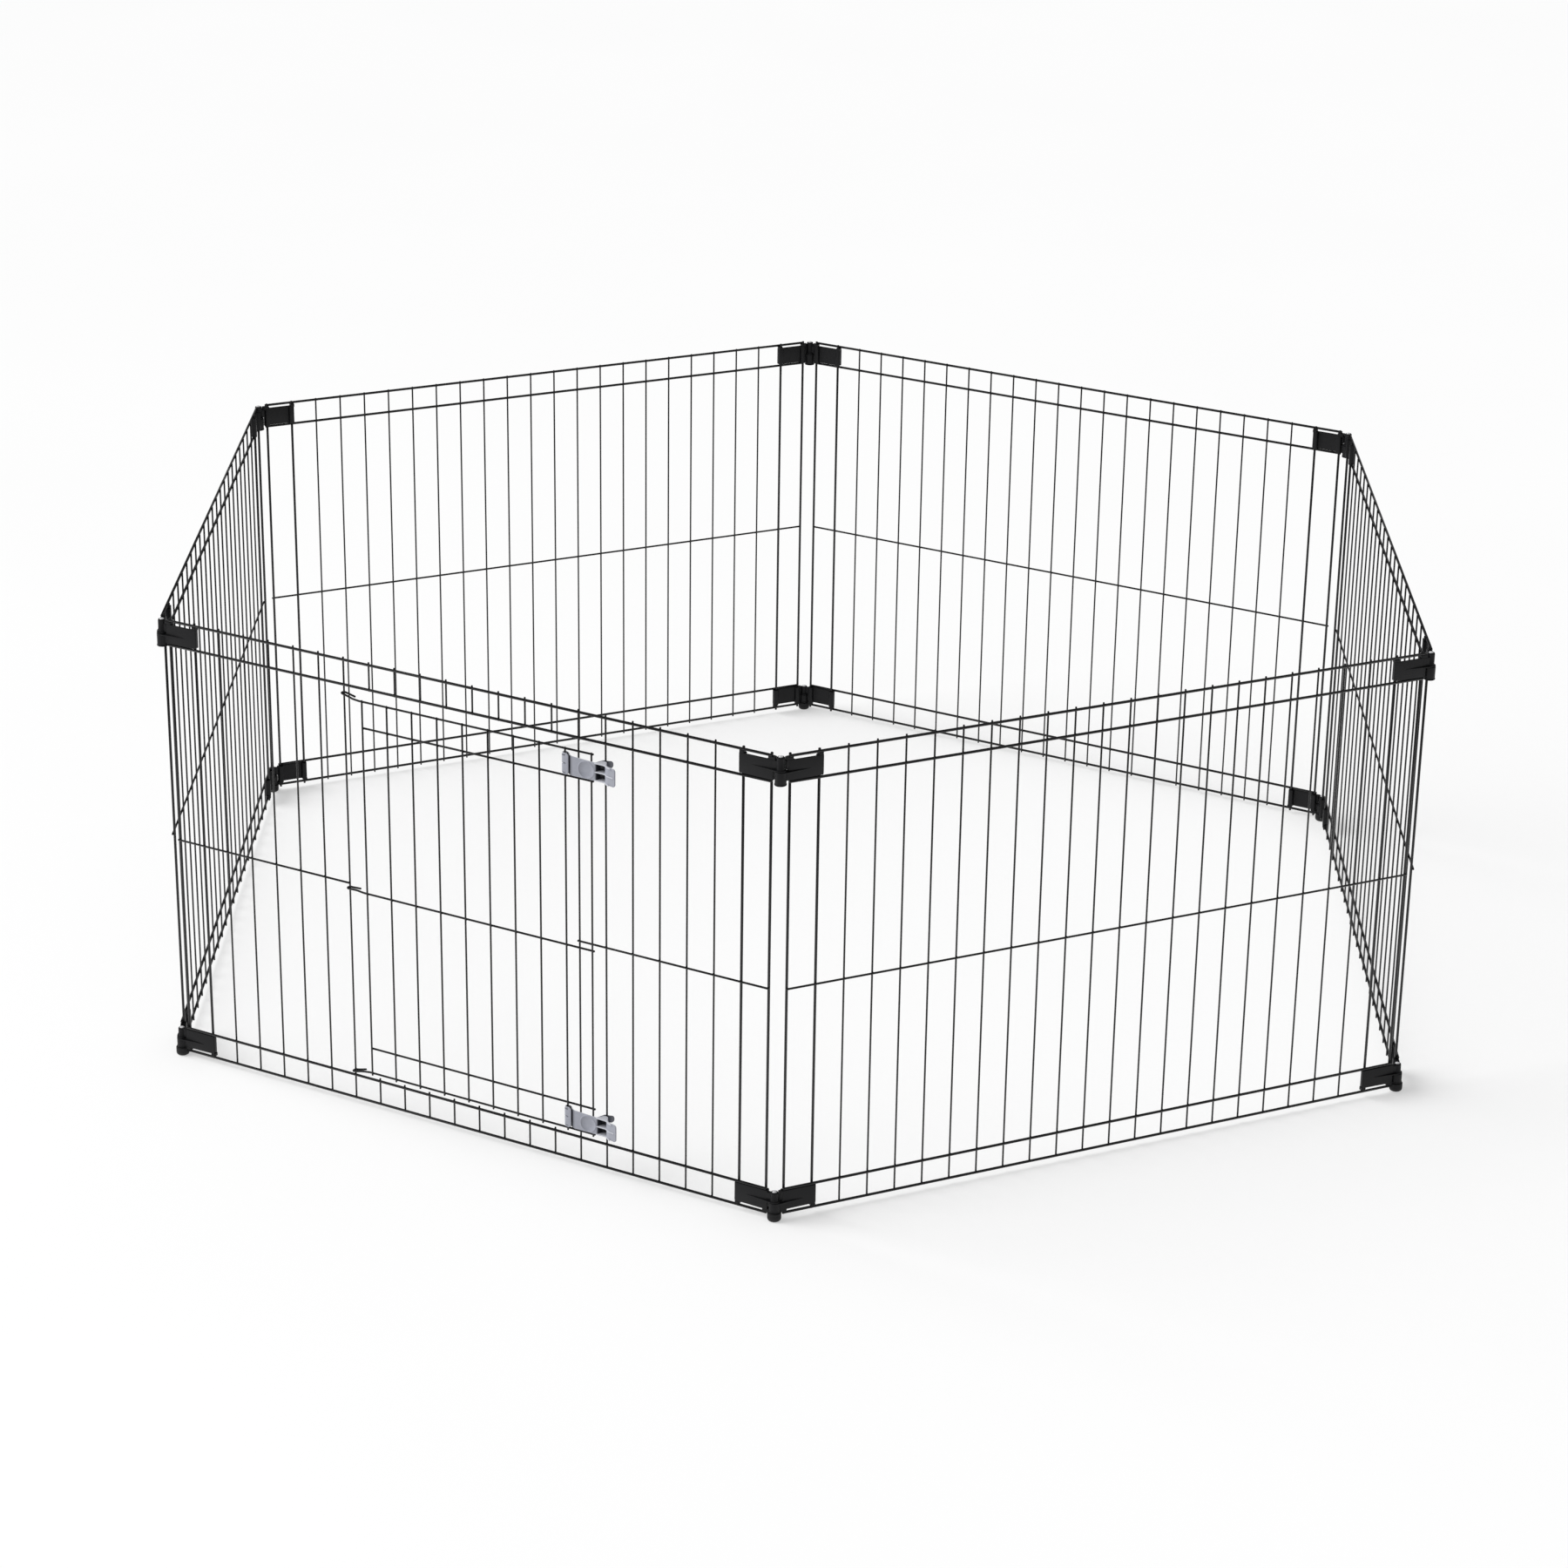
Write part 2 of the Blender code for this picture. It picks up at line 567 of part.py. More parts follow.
def build():
    for thing in list(bpy.data.objects):
        bpy.data.objects.remove(thing)
    parts = bpy.data.collections.new("pet_playpen")
    bpy.context.scene.collection.children.link(parts)

    wire_black = material("black_powder_coat", BLACK_WIRE)
    plastic_black = material("black_plastic", BLACK_PLASTIC)
    plastic_grey = material("grey_plastic", GREY_PLASTIC)
    steel = material("dark_steel", DARK_STEEL)
    rubber = material("black_rubber", BLACK_RUBBER)

    plain = plain_panel_wires()
    brackets = {(s, v): bracket(s, v) for s in ("left", "right") for v in ("top", "bottom")}
    pins = {level: pin(level) for level in ("top", "bottom")}
    foot_mesh = foot()

    headings, corners = corner_plan()
    frames = [
        Matrix.Translation(corner) @ Matrix.Rotation(radians(heading), 4, "Z")
        for corner, heading in zip(corners, headings)
    ]

    # Each moving panel hangs on an empty that stands on its joint's axis.
    root = link("playpen", None, parts)
    place(root, None, Matrix.Identity(4))
    pivots = {0: root}
    for panel, corner, carrier in ((1, 1, 0), (2, 2, 1), (3, 3, 2), (5, 0, 0), (4, 5, 5)):
        pivots[panel] = link(f"{PANELS[panel]}_panel_pivot", None, parts)
        turned_axes = Matrix.Rotation(radians(headings[panel]), 4, "Z")
        place(pivots[panel], pivots[carrier], Matrix.Translation(corners[corner]) @ turned_axes)

    def add(name, mesh, look, parent, world):
        thing = link(name, mesh, parts)
        if not mesh.materials:
            mesh.materials.append(look)
        place(thing, parent, world)
        return thing

    far_end = Matrix.Translation((PANEL_SPAN, 0.0, 0.0))
    for i, panel in enumerate(PANELS):
        label = f"{panel}_panel"
        if i:
            add(f"{label}_wires", plain, wire_black, pivots[i], frames[i])
        for level in ("top", "bottom"):
            for side, world in (("left", frames[i]), ("right", frames[i] @ far_end)):
                mesh = brackets[side, level]
                add(f"{label}_bracket_{side}_{level}", mesh, plastic_black, pivots[i], world)
            add(f"{CORNERS[i]}_corner_pin_{level}", pins[level], steel, pivots[i], frames[i])
        add(f"{CORNERS[i]}_corner_foot", foot_mesh, rubber, pivots[i], frames[i])

    # The doorway's surround is four solids, so that each collides as a flat grille.
    for side in ("left", "right"):
        add(f"front_panel_wires_{side}", beside_doorway(side), wire_black, root, frames[0])
    for level in ("lintel", "sill"):
        add(f"doorway_{level}_wires", doorway_band(level), wire_black, root, frames[0])

    hinge = Matrix.Translation((upright_x(JAMB_HINGE), JAMB_Y, 0.0))
    door_pivot = link("door_pivot", None, parts)
    place(door_pivot, root, frames[0] @ hinge)
    add("door_wires", door_wires(), wire_black, door_pivot, frames[0])
    for level in ("top", "bottom"):
        axis = Matrix.Translation((door_x(LATCH_UPRIGHT), LATCH_Y, 0.0))
        latch_pivot = link(f"latch_{level}_pivot", None, parts)
        place(latch_pivot, door_pivot, frames[0] @ axis)
        add(f"latch_{level}", latch(level), plastic_grey, latch_pivot, frames[0])
        add(f"latch_jaw_{level}", latch_jaw(level), plastic_grey, latch_pivot, frames[0])


build()
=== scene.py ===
"""A folding pet playpen: six welded wire panels, moulded corner hinges, a door and two latches."""

from math import pi, radians

import bpy
import numpy as np
from mathutils import Matrix, Vector


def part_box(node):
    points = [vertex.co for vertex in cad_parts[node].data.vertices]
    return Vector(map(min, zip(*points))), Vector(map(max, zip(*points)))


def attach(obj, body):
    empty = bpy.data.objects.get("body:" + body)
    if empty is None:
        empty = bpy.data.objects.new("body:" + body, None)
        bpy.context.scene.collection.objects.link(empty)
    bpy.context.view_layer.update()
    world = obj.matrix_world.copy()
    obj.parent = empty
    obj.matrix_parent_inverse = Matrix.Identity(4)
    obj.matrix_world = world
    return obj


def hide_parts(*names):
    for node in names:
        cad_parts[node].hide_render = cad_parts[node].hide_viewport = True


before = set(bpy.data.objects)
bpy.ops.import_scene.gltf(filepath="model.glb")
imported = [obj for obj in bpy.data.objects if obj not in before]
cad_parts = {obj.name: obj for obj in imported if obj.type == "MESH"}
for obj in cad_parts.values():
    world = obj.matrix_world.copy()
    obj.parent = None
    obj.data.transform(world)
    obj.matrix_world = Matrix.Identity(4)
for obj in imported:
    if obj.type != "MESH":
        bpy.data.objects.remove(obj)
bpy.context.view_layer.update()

MM = 0.001
PANELS = ("front", "front_right", "back_right", "back", "back_left", "front_left")
CORNERS = ("front_left", "front_right", "right", "back_right", "back_left", "left")
SPLIT_WIRES = (
    "front_panel_wires_left",
    "front_panel_wires_right",
    "doorway_lintel_wires",
    "doorway_sill_wires",
)


# ---------------------------------------------------------------- places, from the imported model


def middle_of(node):
    """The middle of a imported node's box."""
    low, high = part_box(node)
    return (np.array(low) + np.array(high)) / 2


def edge_of(node, side, axis):
    """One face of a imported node's box: side 0 is the low one and 1 the high one."""
    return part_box(node)[side]["xyz".index(axis)]


HINGES = np.array([middle_of(f"{corner}_corner_pin_top") * (1, 1, 0) for corner in CORNERS])
ALONG = np.roll(HINGES, -1, 0) - HINGES
SPAN = float(np.linalg.norm(ALONG[0]))
ALONG = ALONG / np.linalg.norm(ALONG, axis=1, keepdims=True)
INWARD = np.cross((0.0, 0.0, 1.0), ALONG)

BAYS = 23
HINGE_REACH = 12.5 * MM  # from a hinge axis to the first upright
PITCH = (SPAN - 2 * HINGE_REACH) / BAYS
WIRE_TIP = 3.0 * MM  # an upright stands this far past the outermost rails
BAND = 33.0 * MM
WIRES_LOW = edge_of("back_panel_wires", 0, "z")
WIRES_HIGH = edge_of("back_panel_wires", 1, "z")
RAIL_BOTTOM = WIRES_LOW + WIRE_TIP
RAIL_TOP = WIRES_HIGH - WIRE_TIP
RAIL_LOW = RAIL_BOTTOM + BAND
RAIL_HIGH = RAIL_TOP - BAND
MIDDLE = RAIL_BOTTOM + 305.5 * MM

THICK = 1.75 * MM  # wire radii
THIN = 1.2 * MM
MEDIUM = 1.35 * MM
RAIL_Y = -1.5 * MM
INNER_RAIL_Y = -1.9 * MM
MIDDLE_Y = -1.545 * MM
THICK_Y = 0.952 * MM
THIN_Y = 0.864 * MM
JAMB_Y = 0.464 * MM
RAIL_END = 2.1 * MM

JAMB_HINGE = 7
JAMB_LATCH = 16
DOOR_UPRIGHTS = 10
DOOR_PITCHES = np.linspace(7.83, 16.60, DOOR_UPRIGHTS)
DOOR_Y = -5.6 * MM
DOOR_INNER_Y = -5.2 * MM
DOOR_THIN_Y = -7.609 * MM
DOOR_END_Y = -7.209 * MM
DOOR_TIP = 2.6 * MM
DOOR_TOP = RAIL_HIGH - 16.0 * MM
DOOR_BOTTOM = RAIL_LOW + 11.4 * MM
DOOR_BAND = 35.5 * MM
DOOR_MIDDLE = MIDDLE - 7.0 * MM
CATCH = HINGE_REACH + 17 * PITCH


def upright_x(index):
    """How far along its panel an upright stands, counted from the left."""
    return HINGE_REACH + PITCH * np.asarray(index, float)


def in_panel(points, panel):
    """Carries points from a panel's own axes (along it, inward, up) into the pen."""
    points = np.asarray(points, float)
    axes = np.stack([ALONG[panel], INWARD[panel], (0.0, 0.0, 1.0)])
    return HINGES[panel] + points @ axes


# ---------------------------------------------------------------- surfaces


def stack_faces(pieces, rings, sides, round_again=False):
    """Four-cornered faces between neighbouring rings, for many stacks of rings at once."""
    start = (np.arange(pieces) * rings * sides)[:, None, None]
    steps = np.arange(rings if round_again else rings - 1)[None, :, None]
    side = np.arange(sides)[None, None, :]
    here = start + steps * sides
    above = start + ((steps + 1) % rings) * sides
    after = (side + 1) % sides
    return np.stack([here + side, here + after, above + after, above + side], -1).reshape(-1, 4)


def closed_stack(rings, first=None, last=None):
    """Closed loops joined ring to ring, as (points, faces).

    rings holds pieces x rings x sides points, each loop running anticlockwise about the
    direction of travel. Each end is drawn to a pole, or shut by one flat face.
    """
    pieces, count, sides, _ = rings.shape
    points = [rings.reshape(-1, 3)]
    faces = [stack_faces(pieces, count, sides)]
    total = pieces * count * sides
    side = np.arange(sides)
    for at_end, pole in ((False, first), (True, last)):
        loop = (np.arange(pieces) * count + (count - 1) * at_end)[:, None] * sides + side
        if not at_end:
            loop = loop[:, ::-1]
        if pole is None:
            faces.append(loop)
            continue
        centre = np.broadcast_to((total + np.arange(pieces))[:, None], loop.shape)
        faces.append(np.stack([centre, loop, np.roll(loop, -1, 1)], -1).reshape(-1, 3))
        points.append(np.asarray(pole, float).reshape(-1, 3))
        total += pieces
    return np.concatenate(points), faces


def gathered(surfaces):
    """Several surfaces as one: their points end to end, their faces renumbered to match."""
    starts = np.cumsum([0] + [len(points) for points, _ in surfaces])
    points = np.concatenate([points for points, _ in surfaces])
    return points, [face + at for (_, faces), at in zip(surfaces, starts) for face in faces]


def moved(surface, panel, shift=(0.0, 0.0, 0.0)):
    """A surface shifted in its panel's axes and then carried into the pen."""
    points, faces = surface
    return in_panel(points + np.asarray(shift, float), panel), faces


def mirrored(surface):
    """A surface mirrored along its panel, with its faces turned to point outwards again."""
    points, faces = surface
    return points * (-1.0, 1.0, 1.0), [face[:, ::-1] for face in faces]


def circle(sides):
    """Cosines and sines of evenly spaced angles round one turn."""
    angle = np.arange(sides) * 2 * pi / sides
    return np.cos(angle), np.sin(angle)


def rods(starts, ends, radius, sides):
    """Straight round wires with eased cut ends, many at once.

    A point is start + s d + radius f(s) (cos a u + sin a v): d runs along the wire, u and v
    cross it, and f falls from 1 to 0.72 over the last half millimetre.
    """
    starts = np.asarray(starts, float).reshape(-1, 3)
    ends = np.asarray(ends, float).reshape(-1, 3)
    length = np.linalg.norm(ends - starts, axis=1, keepdims=True)
    d = (ends - starts) / length
    across = np.where(np.abs(d[:, 2:]) > 0.5, (1.0, 0.0, 0.0), (0.0, 0.0, 1.0))
    u = np.cross(across, d)
    v = np.cross(d, u)
    ease = 0.5 * MM
    at = np.concatenate([0 * length, 0 * length + ease, length - ease, length], 1)
    width = radius * np.array([0.72, 1.0, 1.0, 0.72])
    c, s = circle(sides)
    spokes = c[:, None] * u[:, None, :] + s[:, None] * v[:, None, :]
    line = starts[:, None, :] + at[:, :, None] * d[:, None, :]
    rings = line[:, :, None, :] + width[None, :, None, None] * spokes[:, None, :, :]
    return closed_stack(rings, starts, ends)


def bent_rod(line, radius, sides):
    """A round wire carried along a level-going line, with eased ends.

    A point is p(s) + radius f(s) (cos a u + sin a v), with u level and square to the line.
    """
    line = np.asarray(line, float)
    t = np.gradient(line, axis=0)
    t = t / np.linalg.norm(t, axis=1, keepdims=True)
    u = np.cross((0.0, 0.0, 1.0), t)
    u = u / np.linalg.norm(u, axis=1, keepdims=True)
    v = np.cross(t, u)
    width = np.full(len(line), radius)
    width[[0, -1]] = 0.72 * radius
    c, s = circle(sides)
    spokes = c[None, :, None] * u[:, None, :] + s[None, :, None] * v[:, None, :]
    rings = line[:, None, :] + width[:, None, None] * spokes
    return closed_stack(rings[None], line[:1], line[-1:])


def beads(centres, size):
    """Small weld beads: flattened balls with x, y and z radii given by size."""
    centres = np.asarray(centres, float).reshape(-1, 3)
    tilt = np.radians([-45.0, 0.0, 45.0])
    c, s = circle(8)
    ring = np.stack(
        [
            np.cos(tilt)[:, None] * c,
            np.cos(tilt)[:, None] * s,
            np.broadcast_to(np.sin(tilt)[:, None], (3, 8)),
        ],
        -1,
    )
    rings = centres[:, None, None, :] + ring[None] * np.asarray(size)
    pole = np.array([0.0, 0.0, size[2]])
    return closed_stack(rings, centres - pole, centres + pole)


def turned(profile, sides):
    """A profile of (radius, height) points spun about Z, from a pole at the foot to one on top."""
    profile = np.asarray(profile, float)
    c, s = circle(sides)
    radius, height = profile[1:-1, 0], profile[1:-1, 1]
    rings = np.stack(
        [radius[:, None] * c, radius[:, None] * s, np.broadcast_to(height[:, None], (len(radius), sides))],
        -1,
    )
    return closed_stack(rings[None], (0.0, 0.0, profile[0, 1]), (0.0, 0.0, profile[-1, 1]))


def turned_ring(profile, sides):
    """A closed profile of (radius, height) points, clockwise from outside, spun about Z."""
    profile = np.asarray(profile, float)
    c, s = circle(sides)
    radius, height = profile.T
    rings = np.stack(
        [radius[:, None] * c, radius[:, None] * s, np.broadcast_to(height[:, None], (len(radius), sides))],
        -1,
    )
    return rings.reshape(-1, 3), [stack_faces(1, len(radius), sides, True)]


def eased(corners, cuts, steps=4, closed=True):
    """A line whose corners are swept by quadratic curves.

    Corner p becomes (1-t)^2 a + 2t(1-t) p + t^2 b, where a and b lie one cut away from p
    along the two sides that meet there, and no cut takes more than 0.45 of a side.
    """
    p = np.asarray(corners, float)
    back = np.roll(p, 1, 0) - p
    on = np.roll(p, -1, 0) - p
    back_length = np.linalg.norm(back, axis=1)
    on_length = np.linalg.norm(on, axis=1)
    cut = np.minimum(cuts, 0.45 * np.minimum(back_length, on_length))
    if not closed:
        cut[[0, -1]] = 0.0
    a = p + back * (cut / back_length)[:, None]
    b = p + on * (cut / on_length)[:, None]
    t = np.linspace(0, 1, steps + 1)[None, :, None]
    curve = (1 - t) ** 2 * a[:, None] + 2 * t * (1 - t) * p[:, None] + t**2 * b[:, None]
    curve = curve.reshape(-1, 2)
    if closed:
        return curve
    return curve[steps:-steps]


END_RING = 1.3


def moulded(outline, low, high, ease=0.5 * MM):
    """A moulding with eased edges: an anticlockwise outline in plan, carried upwards.

    At each end the outline draws in by e(1 - sin a) while the height runs e(1 - cos a), with
    a from 0 to 90 degrees. One more ring, level with the end, draws in by END_RING times e.
    low and high are one height, or one for each point of the outline.
    """
    outline = np.asarray(outline, float)
    run = np.roll(outline, -1, 0) - np.roll(outline, 1, 0)
    run = run / np.linalg.norm(run, axis=1, keepdims=True)
    inward = np.stack([-run[:, 1], run[:, 0]], -1)
    low = np.broadcast_to(low, len(outline))
    high = np.broadcast_to(high, len(outline))
    turn = np.linspace(0, pi / 2, 4)
    inset = ease * np.concatenate([[END_RING], 1 - np.sin(turn)])
    rise = ease * np.concatenate([[0.0], 1 - np.cos(turn)])
    inset = np.concatenate([inset, inset[::-1]])
    heights = np.concatenate([low + rise[:, None], high - rise[::-1, None]])
    plan = outline[None] + inset[:, None, None] * inward[None]
    rings = np.concatenate([plan, heights[:, :, None]], -1)
    return closed_stack(rings[None])


def along_line(line, at):
    """Points and travel directions at given distances along a line in plan."""
    steps = np.linalg.norm(np.diff(line, axis=0), axis=1)
    keep = np.concatenate([[True], steps > 1e-9])
    line = line[keep]
    reach = np.concatenate([[0.0], np.cumsum(steps[steps > 1e-9])])
    points = np.stack([np.interp(at, reach, line[:, i]) for i in (0, 1)], -1)
    nudge = 0.25 * MM
    ahead = np.stack([np.interp(at + nudge, reach, line[:, i]) for i in (0, 1)], -1)
    behind = np.stack([np.interp(at - nudge, reach, line[:, i]) for i in (0, 1)], -1)
    run = ahead - behind
    return points, run / np.linalg.norm(run, axis=1, keepdims=True)


def length_of(line):
    """The summed length of a line's straight steps."""
    return float(np.linalg.norm(np.diff(line, axis=0), axis=1).sum())


def swept_sheet(line, middle, edges, wall, corner, relief=None, stations=120, rows=24):
    """A moulded sheet that stands on a line in plan, with rounded rims and corners.

    At distance s along the line the section is a flat bar w thick with round edges, which
    reaches from the lower to the upper height of edges(s). Its right-hand face, seen along
    the line, and its left-hand face are pushed out by relief(s, z, side). Both ends draw in,
    the height by the corner radius and w to a thin rim. The surface comes with each point's
    distance and facing, which is 1 or -1 on the two faces and 0 on the rim between them.
    """
    total = length_of(line)
    bend = wall / 2 * (1 - np.cos(np.linspace(0.35, pi / 2, 5)))
    fine = np.linspace(wall / 2, corner, 7)[1:]
    inside = np.linspace(corner, total - corner, stations)[1:-1]
    at = np.concatenate([bend, fine, inside, total - fine[::-1], total - bend[::-1]])
    end = np.minimum(at, total - at)
    short = np.clip(corner - end, 0, corner)
    low, high = edges(at)
    tall = (high - low) / 2 - corner + np.sqrt(corner**2 - short**2)
    centre = ((high + low) / 2)[:, None]
    thin = np.clip(wall / 2 - end, 0, wall / 2)
    half = np.sqrt(np.maximum((wall / 2) ** 2 - thin**2, (0.08 * wall) ** 2))

    turn = np.radians([67.5, 45.0, 22.5])
    core = np.linspace(1, -1, rows)
    level = np.concatenate([[1.0], [1.0] * 3, core, [-1.0] * 3, [-1.0], [-1.0] * 3, -core, [1.0] * 3])
    rim = np.concatenate([np.sin(turn), 0 * core, -np.sin(turn[::-1])])
    rim = np.concatenate([[1.0], rim, [-1.0], -rim])
    thick = np.concatenate([np.cos(turn), 0 * core + 1, np.cos(turn[::-1])])
    thick = np.concatenate([[0.0], thick, [0.0], thick])
    side = np.concatenate([[0.0], 0 * thick[1 : rows + 7] + 1, [0.0], 0 * thick[1 : rows + 7] - 1])

    z = (tall - half)[:, None] * level + half[:, None] * rim
    out = half[:, None] * thick * side
    if relief is not None:
        fade = np.clip(np.minimum(end[:, None], tall[:, None] - np.abs(z)) / (0.6 * MM), 0, 1)
        out = out + relief(at[:, None], z + centre, side[None, :]) * fade * thick
    points, run = along_line(line, at)
    right = np.stack([run[:, 1], -run[:, 0]], -1)
    plan = points[:, None, :] + out[:, :, None] * right[:, None, :]
    rings = np.concatenate([plan, (z + centre)[:, :, None] + middle], -1)
    distance, facing = np.broadcast_arrays(at[:, None], (side * thick)[None, :])
    return closed_stack(rings[None]), distance.ravel(), facing.ravel()


def smooth(t):
    """Eases from 0 to 1 as t does, with level ends."""
    t = np.clip(t, 0, 1)
    return t * t * (3 - 2 * t)


# ---------------------------------------------------------------- finishes


def new_finish(name):
    """An empty material, with its tree, its shader and the piece's own coordinates."""
    made = bpy.data.materials.new(name)
    made.use_nodes = True
    tree = made.node_tree
    shader = tree.nodes["Principled BSDF"]
    place = tree.nodes.new("ShaderNodeTexCoord").outputs["Object"]
    return made, tree, shader, place


def stretched(tree, place, scale):
    """The place, scaled by a different amount along each axis."""
    node = tree.nodes.new("ShaderNodeMapping")
    node.inputs["Scale"].default_value = scale
    tree.links.new(place, node.inputs["Vector"])
    return node.outputs["Vector"]


def noise(tree, place, size, detail=2.0, roughness=0.5):
    """Cloudy noise whose blotches are about size metres across."""
    node = tree.nodes.new("ShaderNodeTexNoise")
    node.inputs["Scale"].default_value = 1 / size
    node.inputs["Detail"].default_value = detail
    node.inputs["Roughness"].default_value = roughness
    tree.links.new(place, node.inputs["Vector"])
    return node.outputs["Fac"]


def spread(tree, value, low, high, start=0.3, stop=0.7):
    """Maps a value's start to stop onto low to high."""
    node = tree.nodes.new("ShaderNodeMapRange")
    for socket, number in zip(("From Min", "From Max", "To Min", "To Max"), (start, stop, low, high)):
        node.inputs[socket].default_value = number
    tree.links.new(value, node.inputs["Value"])
    return node.outputs["Result"]


def blended(tree, share, first, second):
    """A colour between two, each a colour or another socket."""
    node = tree.nodes.new("ShaderNodeMix")
    node.data_type = "RGBA"
    tree.links.new(share, node.inputs["Factor"])
    for socket, value in ((node.inputs[6], first), (node.inputs[7], second)):
        if isinstance(value, tuple):
            socket.default_value = (*value, 1.0)
        else:
            tree.links.new(value, socket)
    return node.outputs[2]


def bumped(tree, height, depth, below=None):
    """A normal raised by a height pattern, laid over another normal if one is given."""
    node = tree.nodes.new("ShaderNodeBump")
    node.inputs["Distance"].default_value = depth
    tree.links.new(height, node.inputs["Height"])
    if below is not None:
        tree.links.new(below, node.inputs["Normal"])
    return node.outputs["Normal"]


def powder_coat():
    """Glossy black powder coat: slight orange peel, thin and thick patches, a little dust."""
    made, tree, shader, place = new_finish("powder_coat")
    patches = noise(tree, place, 0.045, 4.0)
    dust = spread(tree, noise(tree, place, 0.004, 5.0, 0.65), 0.0, 0.55, 0.55, 0.8)
    coat = blended(tree, patches, (0.0045, 0.0045, 0.0050), (0.0090, 0.0088, 0.0094))
    colour = blended(tree, dust, coat, (0.022, 0.022, 0.023))
    peel = noise(tree, place, 0.0011, 2.0)
    pits = noise(tree, place, 0.00035, 1.0)
    tree.links.new(colour, shader.inputs["Base Color"])
    tree.links.new(spread(tree, patches, 0.24, 0.36), shader.inputs["Roughness"])
    tree.links.new(
        bumped(tree, pits, 0.000015, bumped(tree, peel, 0.00009)), shader.inputs["Normal"]
    )
    shader.inputs["Specular IOR Level"].default_value = 0.34
    shader.inputs["Coat Weight"].default_value = 0.12
    shader.inputs["Coat Roughness"].default_value = 0.16
    return made


def black_moulding():
    """Black moulded nylon: spark-eroded grain, cloudy sheen and faint rubbed streaks."""
    made, tree, shader, place = new_finish("black_moulding")
    clouds = noise(tree, place, 0.018, 3.0)
    rubs = noise(tree, stretched(tree, place, (1.0, 1.0, 7.0)), 0.009, 5.0, 0.7)
    base = blended(tree, clouds, (0.0045, 0.0045, 0.0052), (0.0095, 0.0095, 0.0105))
    colour = blended(tree, spread(tree, rubs, 0.0, 0.45, 0.56, 0.78), base, (0.019, 0.019, 0.021))
    grain = noise(tree, place, 0.00055, 3.0, 0.6)
    tree.links.new(colour, shader.inputs["Base Color"])
    tree.links.new(spread(tree, clouds, 0.36, 0.52), shader.inputs["Roughness"])
    tree.links.new(bumped(tree, grain, 0.00007), shader.inputs["Normal"])
    shader.inputs["Specular IOR Level"].default_value = 0.22
    return made


def grey_moulding():
    """Blue-grey moulded acetal: satin grain, soft flow clouds, paler rubbed spots.

    A per-point attribute on the piece runs from 1 in its hollows, where shade is painted nearly black,
    through 0 to
    -1 along its edges, which are painted pale: a painted highlight, with some rubbed wear.
    """
    made, tree, shader, place = new_finish("grey_moulding")
    flow = noise(tree, stretched(tree, place, (1.0, 1.0, 2.6)), 0.016, 4.0, 0.55)
    specks = noise(tree, place, 0.0021, 4.0, 0.7)
    base = blended(tree, flow, (0.255, 0.265, 0.310), (0.330, 0.340, 0.385))
    worn = blended(tree, spread(tree, specks, 0.0, 0.35, 0.58, 0.80), base, (0.44, 0.45, 0.49))
    painted_shading = tree.nodes.new("ShaderNodeAttribute")
    painted_shading.attribute_name = "painted_shading"
    # Painted highlight: edges are mixed towards pale grey for light caught on the rims, together with rubbed
    # wear.
    wear_and_painted_highlight = blended(tree, spread(tree, painted_shading.outputs["Fac"], 1.0, 0.0, -1.0, 0.0), worn, (0.64, 0.65, 0.69))
    # Painted shade: where the attribute is positive the colour is mixed towards near black, for shade in the
    # hollows.
    hollow = spread(tree, painted_shading.outputs["Fac"], 0.0, 1.0, 0.0, 1.0)
    colour = blended(tree, hollow, wear_and_painted_highlight, (0.008, 0.009, 0.014))
    grain = noise(tree, place, 0.0005, 3.0, 0.6)
    tree.links.new(colour, shader.inputs["Base Color"])
    tree.links.new(spread(tree, flow, 0.30, 0.42), shader.inputs["Roughness"])
    tree.links.new(bumped(tree, grain, 0.00005), shader.inputs["Normal"])
    return made


def bright_steel():
    """Bright zinc-plated steel with fine rubbing marks and a little tarnish."""
    made, tree, shader, place = new_finish("bright_steel")
    tarnish = noise(tree, place, 0.003, 4.0)
    marks = noise(tree, stretched(tree, place, (1.0, 1.0, 9.0)), 0.0012, 3.0)
    colour = blended(tree, tarnish, (0.60, 0.60, 0.61), (0.78, 0.78, 0.79))
    tree.links.new(colour, shader.inputs["Base Color"])
    tree.links.new(spread(tree, marks, 0.22, 0.38), shader.inputs["Roughness"])
    tree.links.new(bumped(tree, marks, 0.00002), shader.inputs["Normal"])
    shader.inputs["Metallic"].default_value = 0.35
    return made


def foot_rubber():
    """Black rubber that has picked up floor dust towards its foot."""
    made, tree, shader, place = new_finish("foot_rubber")
    split = tree.nodes.new("ShaderNodeSeparateXYZ")
    tree.links.new(place, split.inputs["Vector"])
    near_floor = spread(tree, split.outputs["Z"], 0.75, 0.0, 0.0, 0.005)
    patches = spread(tree, noise(tree, place, 0.003, 5.0, 0.65), 0.0, 1.0)
    share = tree.nodes.new("ShaderNodeMath")
    share.operation = "MULTIPLY"
    tree.links.new(near_floor, share.inputs[0])
    tree.links.new(patches, share.inputs[1])
    rubber = blended(tree, patches, (0.008, 0.008, 0.0085), (0.015, 0.015, 0.016))
    colour = blended(tree, share.outputs[0], rubber, (0.075, 0.073, 0.070))
    tree.links.new(colour, shader.inputs["Base Color"])
    tree.links.new(spread(tree, patches, 0.5, 0.68), shader.inputs["Roughness"])
    grain = noise(tree, place, 0.0007, 3.0)
    tree.links.new(bumped(tree, grain, 0.00008), shader.inputs["Normal"])
    shader.inputs["Specular IOR Level"].default_value = 0.25
    return made


